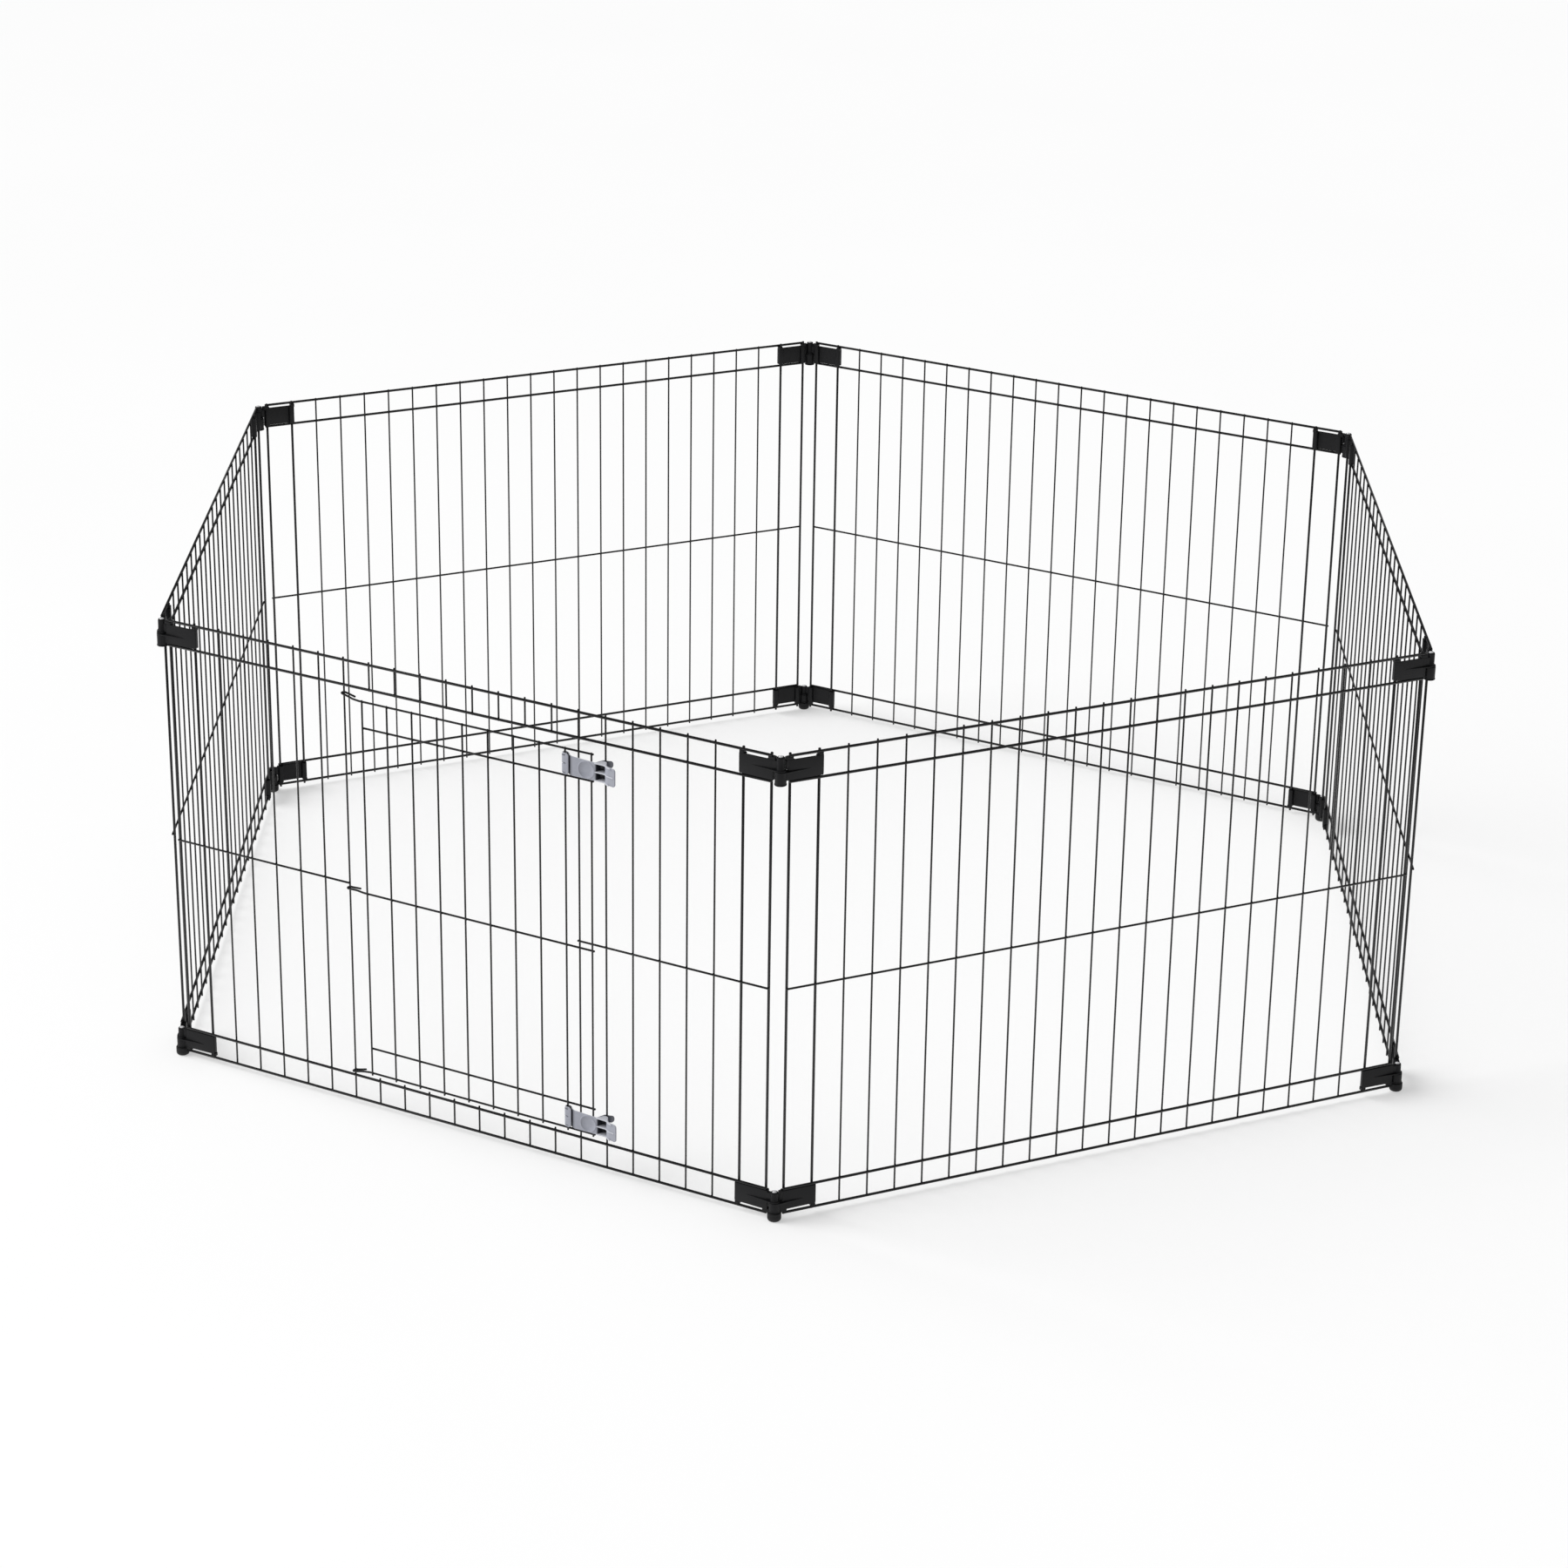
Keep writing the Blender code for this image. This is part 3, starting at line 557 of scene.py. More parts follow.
def floor_paint():
    """A pale lit table: matt, hardly any tone in it, and glowing enough to thin out shadows."""
    made, tree, shader, place = new_finish("floor_paint")
    tone = blended(tree, noise(tree, place, 0.9, 2.0), (0.50, 0.50, 0.50), (0.52, 0.52, 0.52))
    tree.links.new(tone, shader.inputs["Base Color"])
    shader.inputs["Emission Color"].default_value = (1.0, 1.0, 1.0, 1.0)
    shader.inputs["Emission Strength"].default_value = 0.42
    shader.inputs["Roughness"].default_value = 0.85
    shader.inputs["Specular IOR Level"].default_value = 0.2
    return made


COAT = powder_coat()
BLACK = black_moulding()
GREY = grey_moulding()
STEEL = bright_steel()
RUBBER = foot_rubber()


def piece(name, surfaces, look, body, nodes, painted_shading=None):
    """One finished piece of the pen, from surfaces that already stand in their place."""
    points, faces = gathered(surfaces)
    mesh = bpy.data.meshes.new(name)
    sizes = np.concatenate([np.full(len(face), face.shape[1]) for face in faces])
    corners = np.concatenate([face.reshape(-1) for face in faces]).astype(np.int32)
    mesh.vertices.add(len(points))
    mesh.vertices.foreach_set("co", points.astype(np.float32).reshape(-1))
    mesh.loops.add(len(corners))
    mesh.loops.foreach_set("vertex_index", corners)
    mesh.polygons.add(len(sizes))
    starts = np.concatenate([[0], np.cumsum(sizes)[:-1]]).astype(np.int32)
    mesh.polygons.foreach_set("loop_start", starts)
    mesh.polygons.foreach_set("use_smooth", np.ones(len(sizes), bool))
    mesh.update(calc_edges=True)
    mesh.validate()
    mesh.materials.append(look)
    if painted_shading is not None:
        mesh.attributes.new("painted_shading", "FLOAT", "POINT").data.foreach_set("value", painted_shading)
    made = bpy.data.objects.new(name, mesh)
    bpy.context.scene.collection.objects.link(made)
    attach(made, body)
    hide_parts(*nodes)
    return made


# ---------------------------------------------------------------- wire panels


def uprights(indices, y, low, high, radius):
    """Upright wires at the given places, all from one height to another."""
    x = upright_x(indices)
    ends = [np.stack([x, 0 * x + y, 0 * x + level], -1) for level in (low, high)]
    return rods(*ends, radius, 12)


def level_wires(first, last, y, heights, radius):
    """Level wires from one distance along the panel to another, one for each height."""
    heights = np.asarray(heights, float)
    starts = np.stack([0 * heights + first, 0 * heights + y, heights], -1)
    ends = np.stack([0 * heights + last, 0 * heights + y, heights], -1)
    return rods(starts, ends, radius, 16)


def weld_beads(indices, y, heights, radius):
    """A bead where each upright crosses each of the given heights."""
    x, z = np.meshgrid(upright_x(indices), heights)
    centres = np.stack([x, 0 * x + y, z], -1)
    return beads(centres, (radius + 0.75 * MM, 0.9 * MM, radius + 0.85 * MM))


def panel_surfaces(panel):
    """All the wires of one panel: uprights inside, rails outside, a bead at each crossing."""
    every = np.arange(BAYS + 1)
    thick = np.array([0, 1, BAYS - 1, BAYS])
    doorway = np.arange(JAMB_HINGE, JAMB_LATCH + 1) if panel == 0 else np.array([], int)
    stubs = doorway[1:-1]
    jambs = doorway[[0, -1]] if panel == 0 else doorway
    thin = np.setdiff1d(np.setdiff1d(every, thick), doorway)
    first, last = upright_x(0) - RAIL_END, upright_x(BAYS) + RAIL_END
    parts = [
        uprights(thick, THICK_Y, WIRES_LOW, WIRES_HIGH, THICK),
        uprights(thin, THIN_Y, WIRES_LOW, WIRES_HIGH, THIN),
        level_wires(first, last, RAIL_Y, (RAIL_BOTTOM, RAIL_TOP), THICK),
        level_wires(first, last, INNER_RAIL_Y, (RAIL_LOW, RAIL_HIGH), THICK),
    ]
    crossings = (RAIL_BOTTOM, RAIL_LOW, RAIL_HIGH, RAIL_TOP)
    parts.append(weld_beads(every, -0.25 * MM, crossings, 0.9 * THIN))
    if panel == 0:
        parts.append(uprights(jambs, JAMB_Y, WIRES_LOW, WIRES_HIGH, THIN))
        parts.append(uprights(stubs, JAMB_Y, WIRES_LOW, RAIL_LOW + WIRE_TIP, THIN))
        parts.append(uprights(stubs, JAMB_Y, RAIL_HIGH - WIRE_TIP, WIRES_HIGH, THIN))
        ends = (upright_x(JAMB_HINGE) + RAIL_END, upright_x(JAMB_LATCH) - RAIL_END)
        parts.append(level_wires(first, ends[0], MIDDLE_Y, (MIDDLE,), MEDIUM))
        parts.append(level_wires(ends[1], last, MIDDLE_Y, (MIDDLE,), MEDIUM))
        parts.append(weld_beads(np.setdiff1d(every, stubs), -0.3 * MM, (MIDDLE,), 0.8 * THIN))
    else:
        parts.append(level_wires(first, last, MIDDLE_Y, (MIDDLE,), MEDIUM))
        parts.append(weld_beads(every, -0.3 * MM, (MIDDLE,), 0.8 * THIN))
    return [moved(part, panel) for part in parts]


for number, panel_name in enumerate(PANELS):
    nodes = SPLIT_WIRES if number == 0 else (f"{panel_name}_panel_wires",)
    body = f"{panel_name}_panel"
    piece(f"{body}_wirework", panel_surfaces(number), COAT, body, nodes)


# ---------------------------------------------------------------- door


def hooked_row(height, rise, slope_length, y):
    """A row of the door that ends in a flattened hook round the hinge jamb.

    The inner leg runs back along the panel, half a circle takes it round the jamb, and the
    outer leg eases out to the door's plane. Both legs slope alike, from the hook's height at
    the jamb to the row's own height at the end of the slope.
    """
    centre_x, centre_y = float(upright_x(JAMB_HINGE)), JAMB_Y
    radius = MEDIUM + THIN + 0.5 * MM
    leg = 14.0 * MM
    inner_x = np.concatenate([[leg + 0.5 * MM], np.linspace(leg, 0.0, 14, endpoint=False)])
    inner_y = radius + 0.35 * MM * smooth(inner_x / leg)
    turn = np.linspace(pi / 2, 3 * pi / 2, 17)
    outer_x = np.linspace(0.0, 30.0 * MM, 40)[1:]
    share = smooth((outer_x - 8.0 * MM) / (20.0 * MM))
    outer_y = -radius * (1 - share) + (y - centre_y) * share
    last = float(upright_x(DOOR_PITCHES[-1])) + RAIL_END - centre_x
    rest_x = np.array([(outer_x[-1] + last) / 2, last - 0.5 * MM, last])
    x = np.concatenate([inner_x, radius * np.cos(turn), outer_x, rest_x])
    across = np.concatenate([inner_y, radius * np.sin(turn), outer_y, 0 * rest_x + y - centre_y])
    slope = np.clip(1 - x / slope_length, 0, 1.12)
    level = height + rise * (0.7 * slope + 0.3 * smooth(slope))
    line = np.stack([centre_x + x, centre_y + across, level], -1)
    return bent_rod(line, MEDIUM, 16)


def door_surfaces():
    """Ten uprights outside, five rows inside, three of the rows hooked round the jamb."""
    inner = DOOR_PITCHES[1:-1]
    ends = DOOR_PITCHES[[0, -1]]
    low, high = DOOR_BOTTOM - DOOR_TIP, DOOR_TOP + DOOR_TIP
    plain = (DOOR_TOP - DOOR_BAND, DOOR_BOTTOM + DOOR_BAND)
    first, last = (float(upright_x(p)) for p in ends)
    rows = (DOOR_BOTTOM, plain[1], DOOR_MIDDLE, plain[0], DOOR_TOP)
    return [
        uprights(inner, DOOR_THIN_Y, low, high, THIN),
        uprights(ends, DOOR_END_Y, low, high, THIN),
        level_wires(first - RAIL_END, last + RAIL_END, DOOR_INNER_Y, plain, MEDIUM),
        hooked_row(DOOR_TOP, 3.4 * MM, 15.0 * MM, DOOR_Y),
        hooked_row(DOOR_MIDDLE, -0.5 * MM, 15.0 * MM, DOOR_INNER_Y),
        hooked_row(DOOR_BOTTOM, -6.5 * MM, 27.0 * MM, DOOR_Y),
        weld_beads(DOOR_PITCHES, -6.5 * MM, rows, 0.8 * THIN),
    ]


door_parts = [moved(part, 0) for part in door_surfaces()]
piece("door_wirework", door_parts, COAT, "door", ("door_wires",))


# ---------------------------------------------------------------- corner hinges

BARREL_WIDE = 7.25 * MM
BARREL_SLIM = 4.95 * MM
BORE = 2.75 * MM
PIN = 2.4 * MM
PLATE_FACE = -3.4 * MM
SPLIT_GAP = 0.15 * MM
HEIGHTS = {
    "top": {
        "plate": (RAIL_HIGH + 1.9 * MM, RAIL_TOP - 4.7 * MM),
        "slim_top": RAIL_TOP - 1.1 * MM,
        "wide_bottom": RAIL_HIGH - 3.0 * MM,
        "split": RAIL_HIGH + 15.0 * MM,
    },
    "bottom": {
        "plate": (RAIL_BOTTOM + 4.7 * MM, RAIL_LOW - 1.9 * MM),
        "slim_top": RAIL_LOW - 3.5 * MM,
        "wide_bottom": RAIL_BOTTOM + 3.35 * MM,
        "split": RAIL_BOTTOM + 17.0 * MM,
    },
}


def plate_outline():
    """The plate in plan: flat outside, a block round the first upright, a channel at the second."""
    first, second = HINGE_REACH, HINGE_REACH + PITCH
    back = 4.4 * MM
    corners = [
        (8.3 * MM, PLATE_FACE, 0.8),
        (second + 4.4 * MM, PLATE_FACE, 2.4),
        (second + 4.4 * MM, -0.4 * MM, 1.6),
        (second + 3.4 * MM, back - 0.5 * MM, 1.8),
        (second - 3.4 * MM, back - 0.5 * MM, 1.8),
        (second - 4.2 * MM, -1.4 * MM, 1.6),
        (first + 4.9 * MM, -1.4 * MM, 1.6),
        (first + 3.9 * MM, back, 1.6),
        (first - 2.2 * MM, back, 1.8),
        (8.3 * MM, 1.8 * MM, 1.4),
    ]
    points = np.array([corner[:2] for corner in corners])
    cuts = np.array([corner[2] for corner in corners]) * MM
    return eased(points, cuts, 5)


def plate(level):
    """The plate, with its far lower corner rounded off and its block reaching a little lower."""
    low, high = HEIGHTS[level]["plate"]
    outline = plate_outline()
    x, y = outline.T
    end = HINGE_REACH + PITCH + 4.4 * MM
    radius = 3.6 * MM
    over = np.clip(x - (end - radius), 0, radius)
    lift = radius - np.sqrt(radius**2 - (0.97 * over) ** 2)
    drop = 0.9 * MM * smooth((y - 0.5 * MM) / (3.0 * MM)) * (x < 20 * MM)
    lows = low + lift - (drop if level == "top" else 0.0)
    return moulded(outline, lows, high, 0.55 * MM)


def gusset(low, reach):
    """The thin rib outside the plate, proud at the barrel and fading along the plate."""
    corners = np.array(
        [
            (0.0, -reach),
            (5.5 * MM, -reach),
            (16.0 * MM, -5.5 * MM),
            (38.0 * MM, PLATE_FACE - 0.15 * MM),
            (38.0 * MM, PLATE_FACE + 0.8 * MM),
            (0.0, PLATE_FACE + 0.8 * MM),
        ]
    )
    cuts = np.array([0.45, 3.5, 8.0, 0.42, 0.42, 0.45]) * MM
    return moulded(eased(corners, cuts, 6), low, low + 1.4 * MM, 0.3 * MM)


def neck(low, high):
    """The web that joins the plate's block to its barrel."""
    corners = [(1.5, -3.4), (9.6, -3.4), (9.6, 2.0), (6.5, 1.6), (1.5, 2.2)]
    cuts = np.array([0.6, 0.6, 0.6, 2.0, 0.6]) * MM
    return moulded(eased(np.array(corners) * MM, cuts, 4), low, high, 0.4 * MM)


def wide_barrel(low, high):
    """The lower barrel: a lipped foot, a straight side and an eased mouth."""
    r = BARREL_WIDE
    profile = [
        (BORE, low),
        (r - 0.6 * MM, low),
        (r + 0.15 * MM, low + 0.25 * MM),
        (r + 0.35 * MM, low + 0.8 * MM),
        (r + 0.30 * MM, low + 1.4 * MM),
        (r - 0.10 * MM, low + 2.0 * MM),
        (r - 0.15 * MM, low + 3.2 * MM),
        (r - 0.10 * MM, high - 1.0 * MM),
        (r - 0.25 * MM, high - 0.35 * MM),
        (r - 0.75 * MM, high),
        (BORE, high),
    ]
    return turned_ring(profile, 40)


def slim_barrel(low, high):
    """The upper barrel: a flange that sits on its neighbour, and a slim eased tube."""
    r = BARREL_SLIM
    profile = [
        (BORE, low),
        (r + 1.6 * MM, low),
        (r + 1.95 * MM, low + 0.35 * MM),
        (r + 1.95 * MM, low + 1.0 * MM),
        (r + 1.55 * MM, low + 1.4 * MM),
        (r + 0.55 * MM, low + 1.6 * MM),
        (r + 0.05 * MM, low + 2.3 * MM),
        (r, high - 0.9 * MM),
        (r - 0.25 * MM, high + 0.2 * MM),
        (r - 0.8 * MM, high + 1.0 * MM),
        (r - 1.3 * MM, high + 1.2 * MM),
        (r - 1.6 * MM, high + 0.9 * MM),
        (r - 1.65 * MM, high),
        (BORE, high),
    ]
    return turned_ring(profile, 40)


def boss(outline, level):
    """A raised pad that carries the plate up, or down, to the outermost rail at an upright."""
    low, high = HEIGHTS[level]["plate"]
    if level == "top":
        low, high = high - 1.2 * MM, RAIL_TOP - 1.3 * MM
    else:
        low, high = RAIL_BOTTOM + 1.3 * MM, low + 1.2 * MM
    return moulded(eased(np.array(outline), 0.9 * MM, 4), low, high, 0.35 * MM)


def cup(low, high):
    """The end of the plate's block, hollowed to follow the slim barrel beside it."""
    turn = np.radians(np.linspace(14, -38, 7))
    hollow = 5.6 * MM * np.stack([np.cos(turn), np.sin(turn)], -1)
    square = np.array([(9.6 * MM, PLATE_FACE), (9.6 * MM, 1.9 * MM)])
    return moulded(np.concatenate([square, hollow]), low, high, 0.25 * MM)


def bracket(side, level):
    """A whole corner bracket, its hinge axis at X = 0 and its plate pointing along the panel."""
    sizes = HEIGHTS[level]
    low, high = sizes["plate"]
    split = sizes["split"]
    if side == "left":
        top = split - SPLIT_GAP
        barrel = wide_barrel(sizes["wide_bottom"], top)
        parts = [neck(low + 0.35 * MM, top - 0.35 * MM), gusset(top - 2.1 * MM, 7.0 * MM)]
        parts.append(cup(split + 2.2 * MM, high))
    else:
        foot = split + SPLIT_GAP
        barrel = slim_barrel(foot, sizes["slim_top"])
        top = min(high, sizes["slim_top"]) - 0.35 * MM
        parts = [neck(foot + 0.35 * MM, top), gusset(foot + 0.1 * MM, 6.9 * MM)]
    front, back = -3.1 * MM, 3.7 * MM
    tip, ends = 5.9 * MM, (HINGE_REACH + 3.2 * MM, HINGE_REACH + PITCH - 2.0 * MM)
    last = ends[1] + 6.1 * MM
    inner = [(tip, front), (ends[0], front), (ends[0], back), (9.4 * MM, back), (tip, 2.2 * MM)]
    outer = [(ends[1], front), (last, front), (last, back), (ends[1], back)]
    parts += [boss(inner, level), boss(outer, level)]
    made = gathered([plate(level), barrel, *parts])
    return made if side == "left" else mirrored(made)


def pin(level):
    """A pin with a small domed head: half an ellipse on a straight shaft with an eased point."""
    head = HEIGHTS[level]["slim_top"] + 0.3 * MM
    tip = RAIL_HIGH - 2.0 * MM if level == "top" else RAIL_BOTTOM - 5.0 * MM
    turn = np.linspace(0, pi / 2, 9)
    dome = np.stack([3.05 * MM * np.cos(turn), head + 0.6 * MM + 1.5 * MM * np.sin(turn)], -1)
    shaft = np.array([(0.0, tip), (1.7 * MM, tip), (PIN, tip + 0.7 * MM), (PIN, head), (3.0 * MM, head)])
    return turned(np.concatenate([shaft, dome]), 32)


def foot_cap():
    """A cap with a rounded foot, a soft shoulder and a blind hole for the pin."""
    rim = RAIL_BOTTOM + 3.0 * MM
    profile = [
        (0.0, 0.0),
        (5.9 * MM, 0.0),
        (6.9 * MM, 0.25 * MM),
        (7.9 * MM, 1.0 * MM),
        (8.5 * MM, 2.1 * MM),
        (8.8 * MM, 3.6 * MM),
        (8.8 * MM, 8.0 * MM),
        (8.65 * MM, 8.5 * MM),
        (8.75 * MM, 9.0 * MM),
        (8.7 * MM, rim - 0.9 * MM),
        (8.3 * MM, rim - 0.25 * MM),
        (7.7 * MM, rim),
        (BORE + 0.3 * MM, rim),
        (BORE, rim - 0.4 * MM),
        (BORE, 3.0 * MM),
        (0.0, 3.0 * MM),
    ]
    return turned(profile, 48)


made_brackets = {(s, v): bracket(s, v) for s in ("left", "right") for v in ("top", "bottom")}
made_pins = {level: pin(level) for level in ("top", "bottom")}
made_foot = foot_cap()
for number, panel_name in enumerate(PANELS):
    body = f"{panel_name}_panel"
    corner = CORNERS[number]
    for level in ("top", "bottom"):
        for side, shift in (("left", 0.0), ("right", SPAN)):
            surface = moved(made_brackets[side, level], number, (shift, 0.0, 0.0))
            name = f"{body}_bracket_{side}_{level}"
            piece(f"{name}_moulding", [surface], BLACK, body, (name,))
        name = f"{corner}_corner_pin_{level}"
        piece(f"{name}_domed", [moved(made_pins[level], number)], STEEL, body, (name,))
    name = f"{corner}_corner_foot"
    piece(f"{name}_cap", [moved(made_foot, number)], RUBBER, body, (name,))


# ---------------------------------------------------------------- latches

LATCH_HEIGHT = 28.0 * MM
STEP_DOWN = 2.2 * MM  # the upper edge steps down past the roll
FALL = 1.7 * MM  # and then falls along the plate
WEB_UPPER = LATCH_HEIGHT / 2 - STEP_DOWN - FALL - 0.85 * MM
WEB_CENTRE = -2.2 * MM
WEB_LOWER = 0.85 * MM - LATCH_HEIGHT / 2
PLATE_Y = -10.3 * MM
VALLEY_Y = -1.69 * MM
LATCH_X = float(upright_x(DOOR_PITCHES[8]))
DIMPLE_X = float(upright_x(16.50)) - 1.4 * MM
DIMPLE_Z = -1.7 * MM
DIMPLE_RADIUS = 10.7 * MM
LATCH_MIDDLES = {"top": DOOR_TOP - DOOR_BAND / 2, "bottom": DOOR_BOTTOM + DOOR_BAND / 2}


def latch_line():
    """The latch in plan: lip, roll round the door's wire, ramp, plate, valley and finger tab."""
    roll = 3.0 * MM
    turn = np.radians(np.linspace(270, 90, 13))
    collar = np.stack([LATCH_X + roll * np.cos(turn), DOOR_THIN_Y + roll * np.sin(turn)], -1)
    lip = [(LATCH_X + 7.0 * MM, DOOR_THIN_Y - roll - 0.4 * MM)]
    rest = [
        (LATCH_X + 2.6 * MM, DOOR_THIN_Y + roll),
        (LATCH_X + 9.6 * MM, PLATE_Y),
        (CATCH - 8.0 * MM, PLATE_Y),
        (CATCH - 5.6 * MM, VALLEY_Y - 1.4 * MM),
        (CATCH - 3.2 * MM, VALLEY_Y),
        (CATCH + 1.6 * MM, VALLEY_Y),
        (CATCH + 3.8 * MM, VALLEY_Y - 2.2 * MM),
        (CATCH + 6.6 * MM, VALLEY_Y - 8.8 * MM),
        (CATCH + 11.2 * MM, VALLEY_Y - 12.6 * MM),
        (CATCH + 24.2 * MM, -17.2 * MM),
    ]
    cuts = np.array([0.0, 2.6, 3.4, 1.2, 1.6, 1.6, 1.6, 1.8, 3.0, 5.0, 0.0]) * MM
    tail = eased(np.array([collar[-1], *rest]), cuts, 8, closed=False)
    return np.concatenate([np.array(lip), collar, tail[1:]])


def reach_of(line, x):
    """How far along the latch's line it passes x, beyond the roll."""
    probe = np.linspace(18 * MM, length_of(line), 900)
    points, _ = along_line(line, probe)
    return float(probe[np.argmin(np.abs(points[:, 0] - x))])


def latch_edges(s):
    """The latch's lower and upper heights at distance s: straight below, stepped down above."""
    half = LATCH_HEIGHT / 2
    past_roll = smooth((s - 15 * MM) / (9 * MM))
    along_plate = np.clip((s - 26 * MM) / (34 * MM), 0, 1)
    return 0 * s - half, half - STEP_DOWN * past_roll - FALL * along_plate


def latch_relief(line):
    """What stands proud of the sheet or sinks into it, as a function of distance and height.

    The thumb dimple is a bowl d (1 - q^3) with a proud brim, where q is the distance from its
    middle over its radius. Three bands run round the lip and roll, each exp(-(z/w)^4) across.
    """
    dimple_at = reach_of(line, DIMPLE_X)

    def relief(s, z, side):
        """How far each point of the latch stands off its plain sheet."""
        q = np.hypot(s - dimple_at, z - DIMPLE_Z) / DIMPLE_RADIUS
        bowl = np.clip(1 - q**3, 0, 1)
        brim = 0.60 * MM * np.exp(-(((q - 1.03) / 0.055) ** 2))
        plate_part = np.where(side > 0, brim - 1.9 * MM * bowl, 0.4 * MM * bowl)
        bands = sum(np.exp(-(((z - at) / (0.8 * MM)) ** 4)) for at in (-12.6 * MM, 0.0, 12.6 * MM))
        wrap = smooth((s - 3.0 * MM) / (1.2 * MM)) * smooth((15.5 * MM - s) / (2.0 * MM))
        lip_part = np.where(side > 0, 0.0, 1.15 * MM * bands * wrap)
        return np.where(s > 18 * MM, plate_part, lip_part)

    return relief


def latch_painted_shading(line, s, z, facing):
    """How much painted shade each point gets: behind the lip, in the valley and below the bands.

    The value is 1 where shade is painted and runs down to -1 on the rims, which get a painted highlight with
    some rubbed wear.
    """
    behind_lip = smooth((s - 17.5 * MM) / (2 * MM)) * smooth((32 * MM - s) / (7 * MM))
    start, stop = reach_of(line, CATCH - 8.4 * MM), reach_of(line, CATCH + 6.0 * MM)
    valley = smooth((s - start) / (0.9 * MM)) * smooth((stop - s) / (1.2 * MM))
    # Painted shade in narrow lines just below the raised bands, where their shadow falls.
    shade_below_bands = sum(np.exp(-(((z - at) / (0.6 * MM)) ** 4)) for at in (-11.3 * MM, 1.3 * MM, 11.3 * MM))
    round_roll = smooth((s - 4.0 * MM) / MM) * smooth((15.5 * MM - s) / (2.0 * MM))
    face = np.where(facing > 0, np.maximum(behind_lip, valley), 0.85 * shade_below_bands * round_roll)
    rim = 0.8 * np.clip(1 - np.abs(facing), 0, 1)
    return np.where(np.abs(facing) > 0.5, face, -rim)


def web(middle, thickness, reach):
    """A thin rib that bridges the valley at the plate's level and runs on along the tab."""
    corners = np.array(
        [
            (CATCH - 9.0 * MM, PLATE_Y - 1.15 * MM),
            (CATCH + 6.0 * MM, PLATE_Y - 1.35 * MM),
            (CATCH + 10.6 * MM, -16.1 * MM),
            (CATCH + reach, -18.0 * MM),
            (CATCH + reach, -17.2 * MM),
            (CATCH + 12.0 * MM, -14.6 * MM),
            (CATCH + 5.6 * MM, -9.2 * MM),
            (CATCH + 2.2 * MM, -2.3 * MM),
            (CATCH - 3.4 * MM, -2.3 * MM),
            (CATCH - 7.0 * MM, -8.4 * MM),
            (CATCH - 9.0 * MM, -9.6 * MM),
        ]
    )
    cuts = np.array([0.4, 2.6, 3.0, 0.4, 0.4, 3.0, 3.0, 1.0, 1.0, 1.0, 0.4]) * MM
    outline = eased(corners, cuts, 5)
    return moulded(outline, middle - thickness / 2, middle + thickness / 2, 0.2 * MM)


def jaw_line():
    """The springy jaw in plan: down the upright's left side, behind it, and flared away."""
    back = 3.0 * MM
    corners = np.array(
        [
            (CATCH - 6.6 * MM, -5.6 * MM),
            (CATCH - 5.4 * MM, -0.2 * MM),
            (CATCH - 3.6 * MM, back),
            (CATCH + 1.4 * MM, back + 0.1 * MM),
            (CATCH + 4.0 * MM, back + 0.7 * MM),
            (CATCH + 7.2 * MM, back + 3.9 * MM),
        ]
    )
    return eased(corners, np.array([0.0, 2.0, 1.8, 2.0, 2.2, 0.0]) * MM, 8, closed=False)


def lobe_edges(s):
    """The lower and upper edge of a jaw lobe, level all the way along."""
    return 0 * s - 4.9 * MM, 0 * s + 4.9 * MM


made_latch_line = latch_line()
for level in ("top", "bottom"):
    middle = LATCH_MIDDLES[level]
    body = f"latch_{level}"
    sheet, distance, facing = swept_sheet(
        made_latch_line,
        middle,
        latch_edges,
        2.0 * MM,
        4.2 * MM,
        latch_relief(made_latch_line),
        stations=190,
        rows=58,
    )
    webs = [
        web(middle + lift, 1.5 * MM, reach)
        for lift, reach in ((WEB_UPPER, 17.0 * MM), (WEB_CENTRE, 21.0 * MM), (WEB_LOWER, 15.0 * MM))
    ]
    parts = [moved(part, 0) for part in (sheet, *webs)]
    shade = latch_painted_shading(made_latch_line, distance, sheet[0][:, 2] - middle, facing)
    # The webs are painted paler throughout: a painted highlight for their lit edges, with some rubbed wear.
    painted_shading = np.concatenate([shade, np.full(sum(len(points) for points, _ in webs), -0.55)])
    piece(f"{body}_moulding", parts, GREY, body, (body,), painted_shading)

    lobes = []
    for lift in (-7.0 * MM, 4.6 * MM):
        lobe, _, _ = swept_sheet(
            jaw_line(), middle + lift, lobe_edges, 1.5 * MM, 4.2 * MM, stations=50, rows=10
        )
        lobes.append(moved(lobe, 0))
    count = sum(len(points) for points, _ in lobes)
    # The jaw lobes get painted shade throughout, mixed 0.45 of the way to near black, for the shade they sit
    # in behind the valley.
    piece(f"{body}_jaw_lobes", lobes, GREY, body, (f"latch_jaw_{level}",), np.full(count, 0.45))


# ---------------------------------------------------------------- floor, light and camera


def studio_floor():
    """A wide round floor."""
    c, s = circle(96)
    reach = 60.0
    points = np.stack([reach * c, reach * s, 0 * c], -1)
    mesh = bpy.data.meshes.new("studio_floor")
    mesh.from_pydata(points.tolist(), [], [list(range(96))])
    mesh.materials.append(floor_paint())
    made = bpy.data.objects.new("studio_floor", mesh)
    bpy.context.scene.collection.objects.link(made)


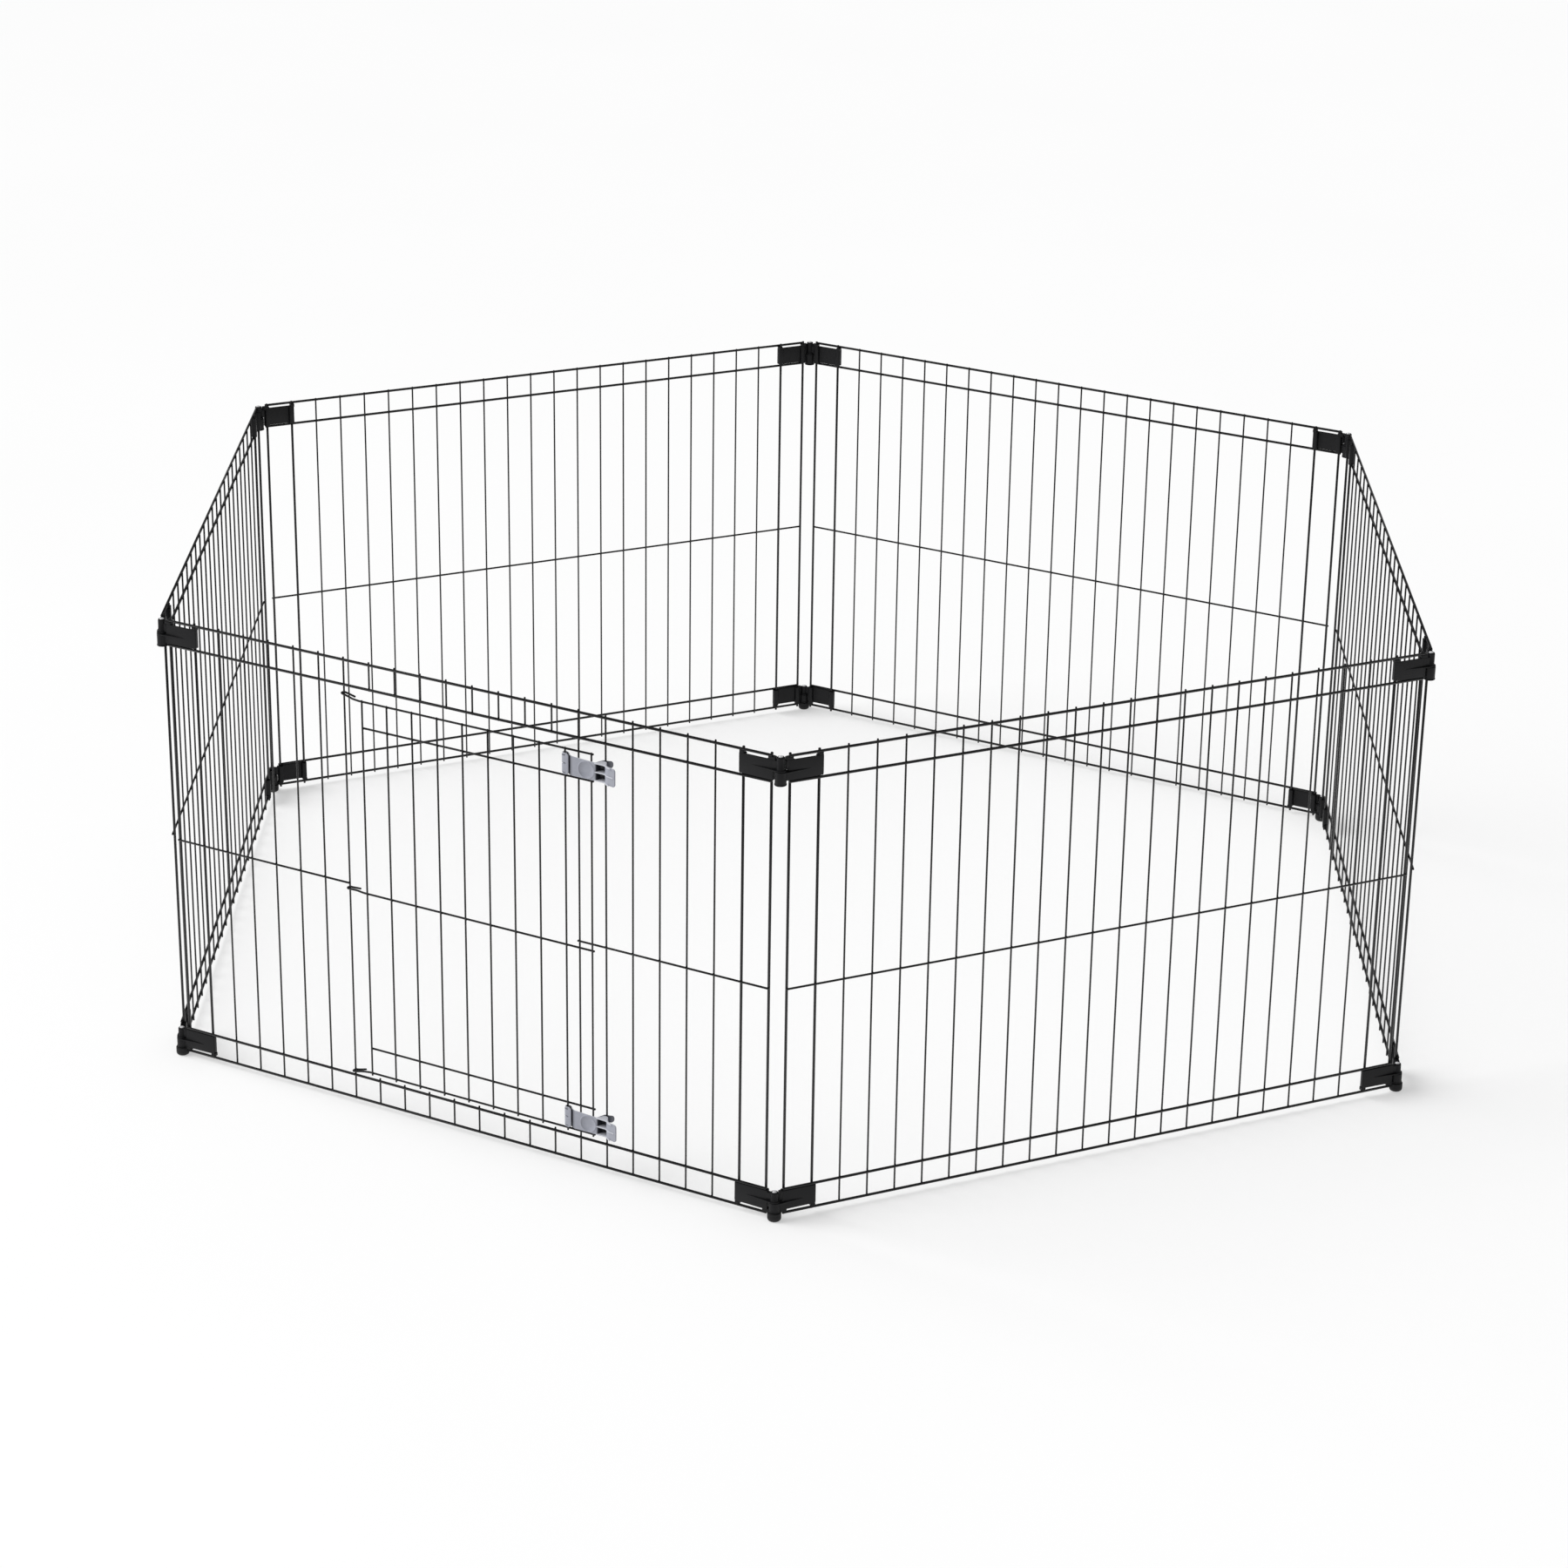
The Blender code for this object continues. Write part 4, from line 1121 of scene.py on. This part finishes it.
def softbox(name, place, target, size, power):
    """A rectangular lamp aimed at a point."""
    lamp = bpy.data.lights.new(name, "AREA")
    lamp.shape = "RECTANGLE"
    lamp.size, lamp.size_y = size
    lamp.energy = power
    made = bpy.data.objects.new(name, lamp)
    made.location = place
    aim = Vector(target) - Vector(place)
    made.rotation_euler = aim.to_track_quat("-Z", "Y").to_euler()
    bpy.context.scene.collection.objects.link(made)


def distant_light(name, towards, spread_angle, strength):
    """A far soft light, which falls evenly over the whole floor."""
    lamp = bpy.data.lights.new(name, "SUN")
    lamp.angle = radians(spread_angle)
    lamp.energy = strength
    made = bpy.data.objects.new(name, lamp)
    made.rotation_euler = Vector(towards).to_track_quat("Z", "Y").to_euler()
    made.visible_glossy = False
    bpy.context.scene.collection.objects.link(made)


def sky(colour, strength, mirrored_strength):
    """An even white room, whose walls and ceiling look darker where a surface mirrors them."""
    world = bpy.data.worlds.new("studio")
    world.use_nodes = True
    tree = world.node_tree
    background = tree.nodes["Background"]
    background.inputs["Color"].default_value = (*colour, 1.0)
    path = tree.nodes.new("ShaderNodeLightPath")
    level = spread(tree, path.outputs["Is Glossy Ray"], strength, mirrored_strength, 0.0, 1.0)
    tree.links.new(level, background.inputs["Strength"])
    bpy.context.scene.world = world


studio_floor()
sky((1.0, 1.0, 1.0), 0.45, 0.22)
distant_light("high_left", (-0.9, -0.3, 0.75), 50.0, 3.35)
softbox("key", (-2.6, -3.4, 1.9), (-0.2, -0.6, 0.35), (1.1, 0.9), 14.0)
bpy.context.scene.view_settings.view_transform = "Standard"

camera = bpy.data.cameras.new("camera")
camera.sensor_width = 36.0
camera.lens = 91.385
viewer = bpy.data.objects.new("camera", camera)
place = Matrix.Translation((2.4598, -4.5501, 2.4004))
heading = Matrix.Rotation(radians(28.518), 4, "Z")
tilt = Matrix.Rotation(radians(90.0 - 22.800), 4, "X")
roll = Matrix.Rotation(radians(0.862), 4, "Z")
viewer.matrix_world = place @ heading @ tilt @ roll
bpy.context.scene.collection.objects.link(viewer)
bpy.context.scene.camera = viewer
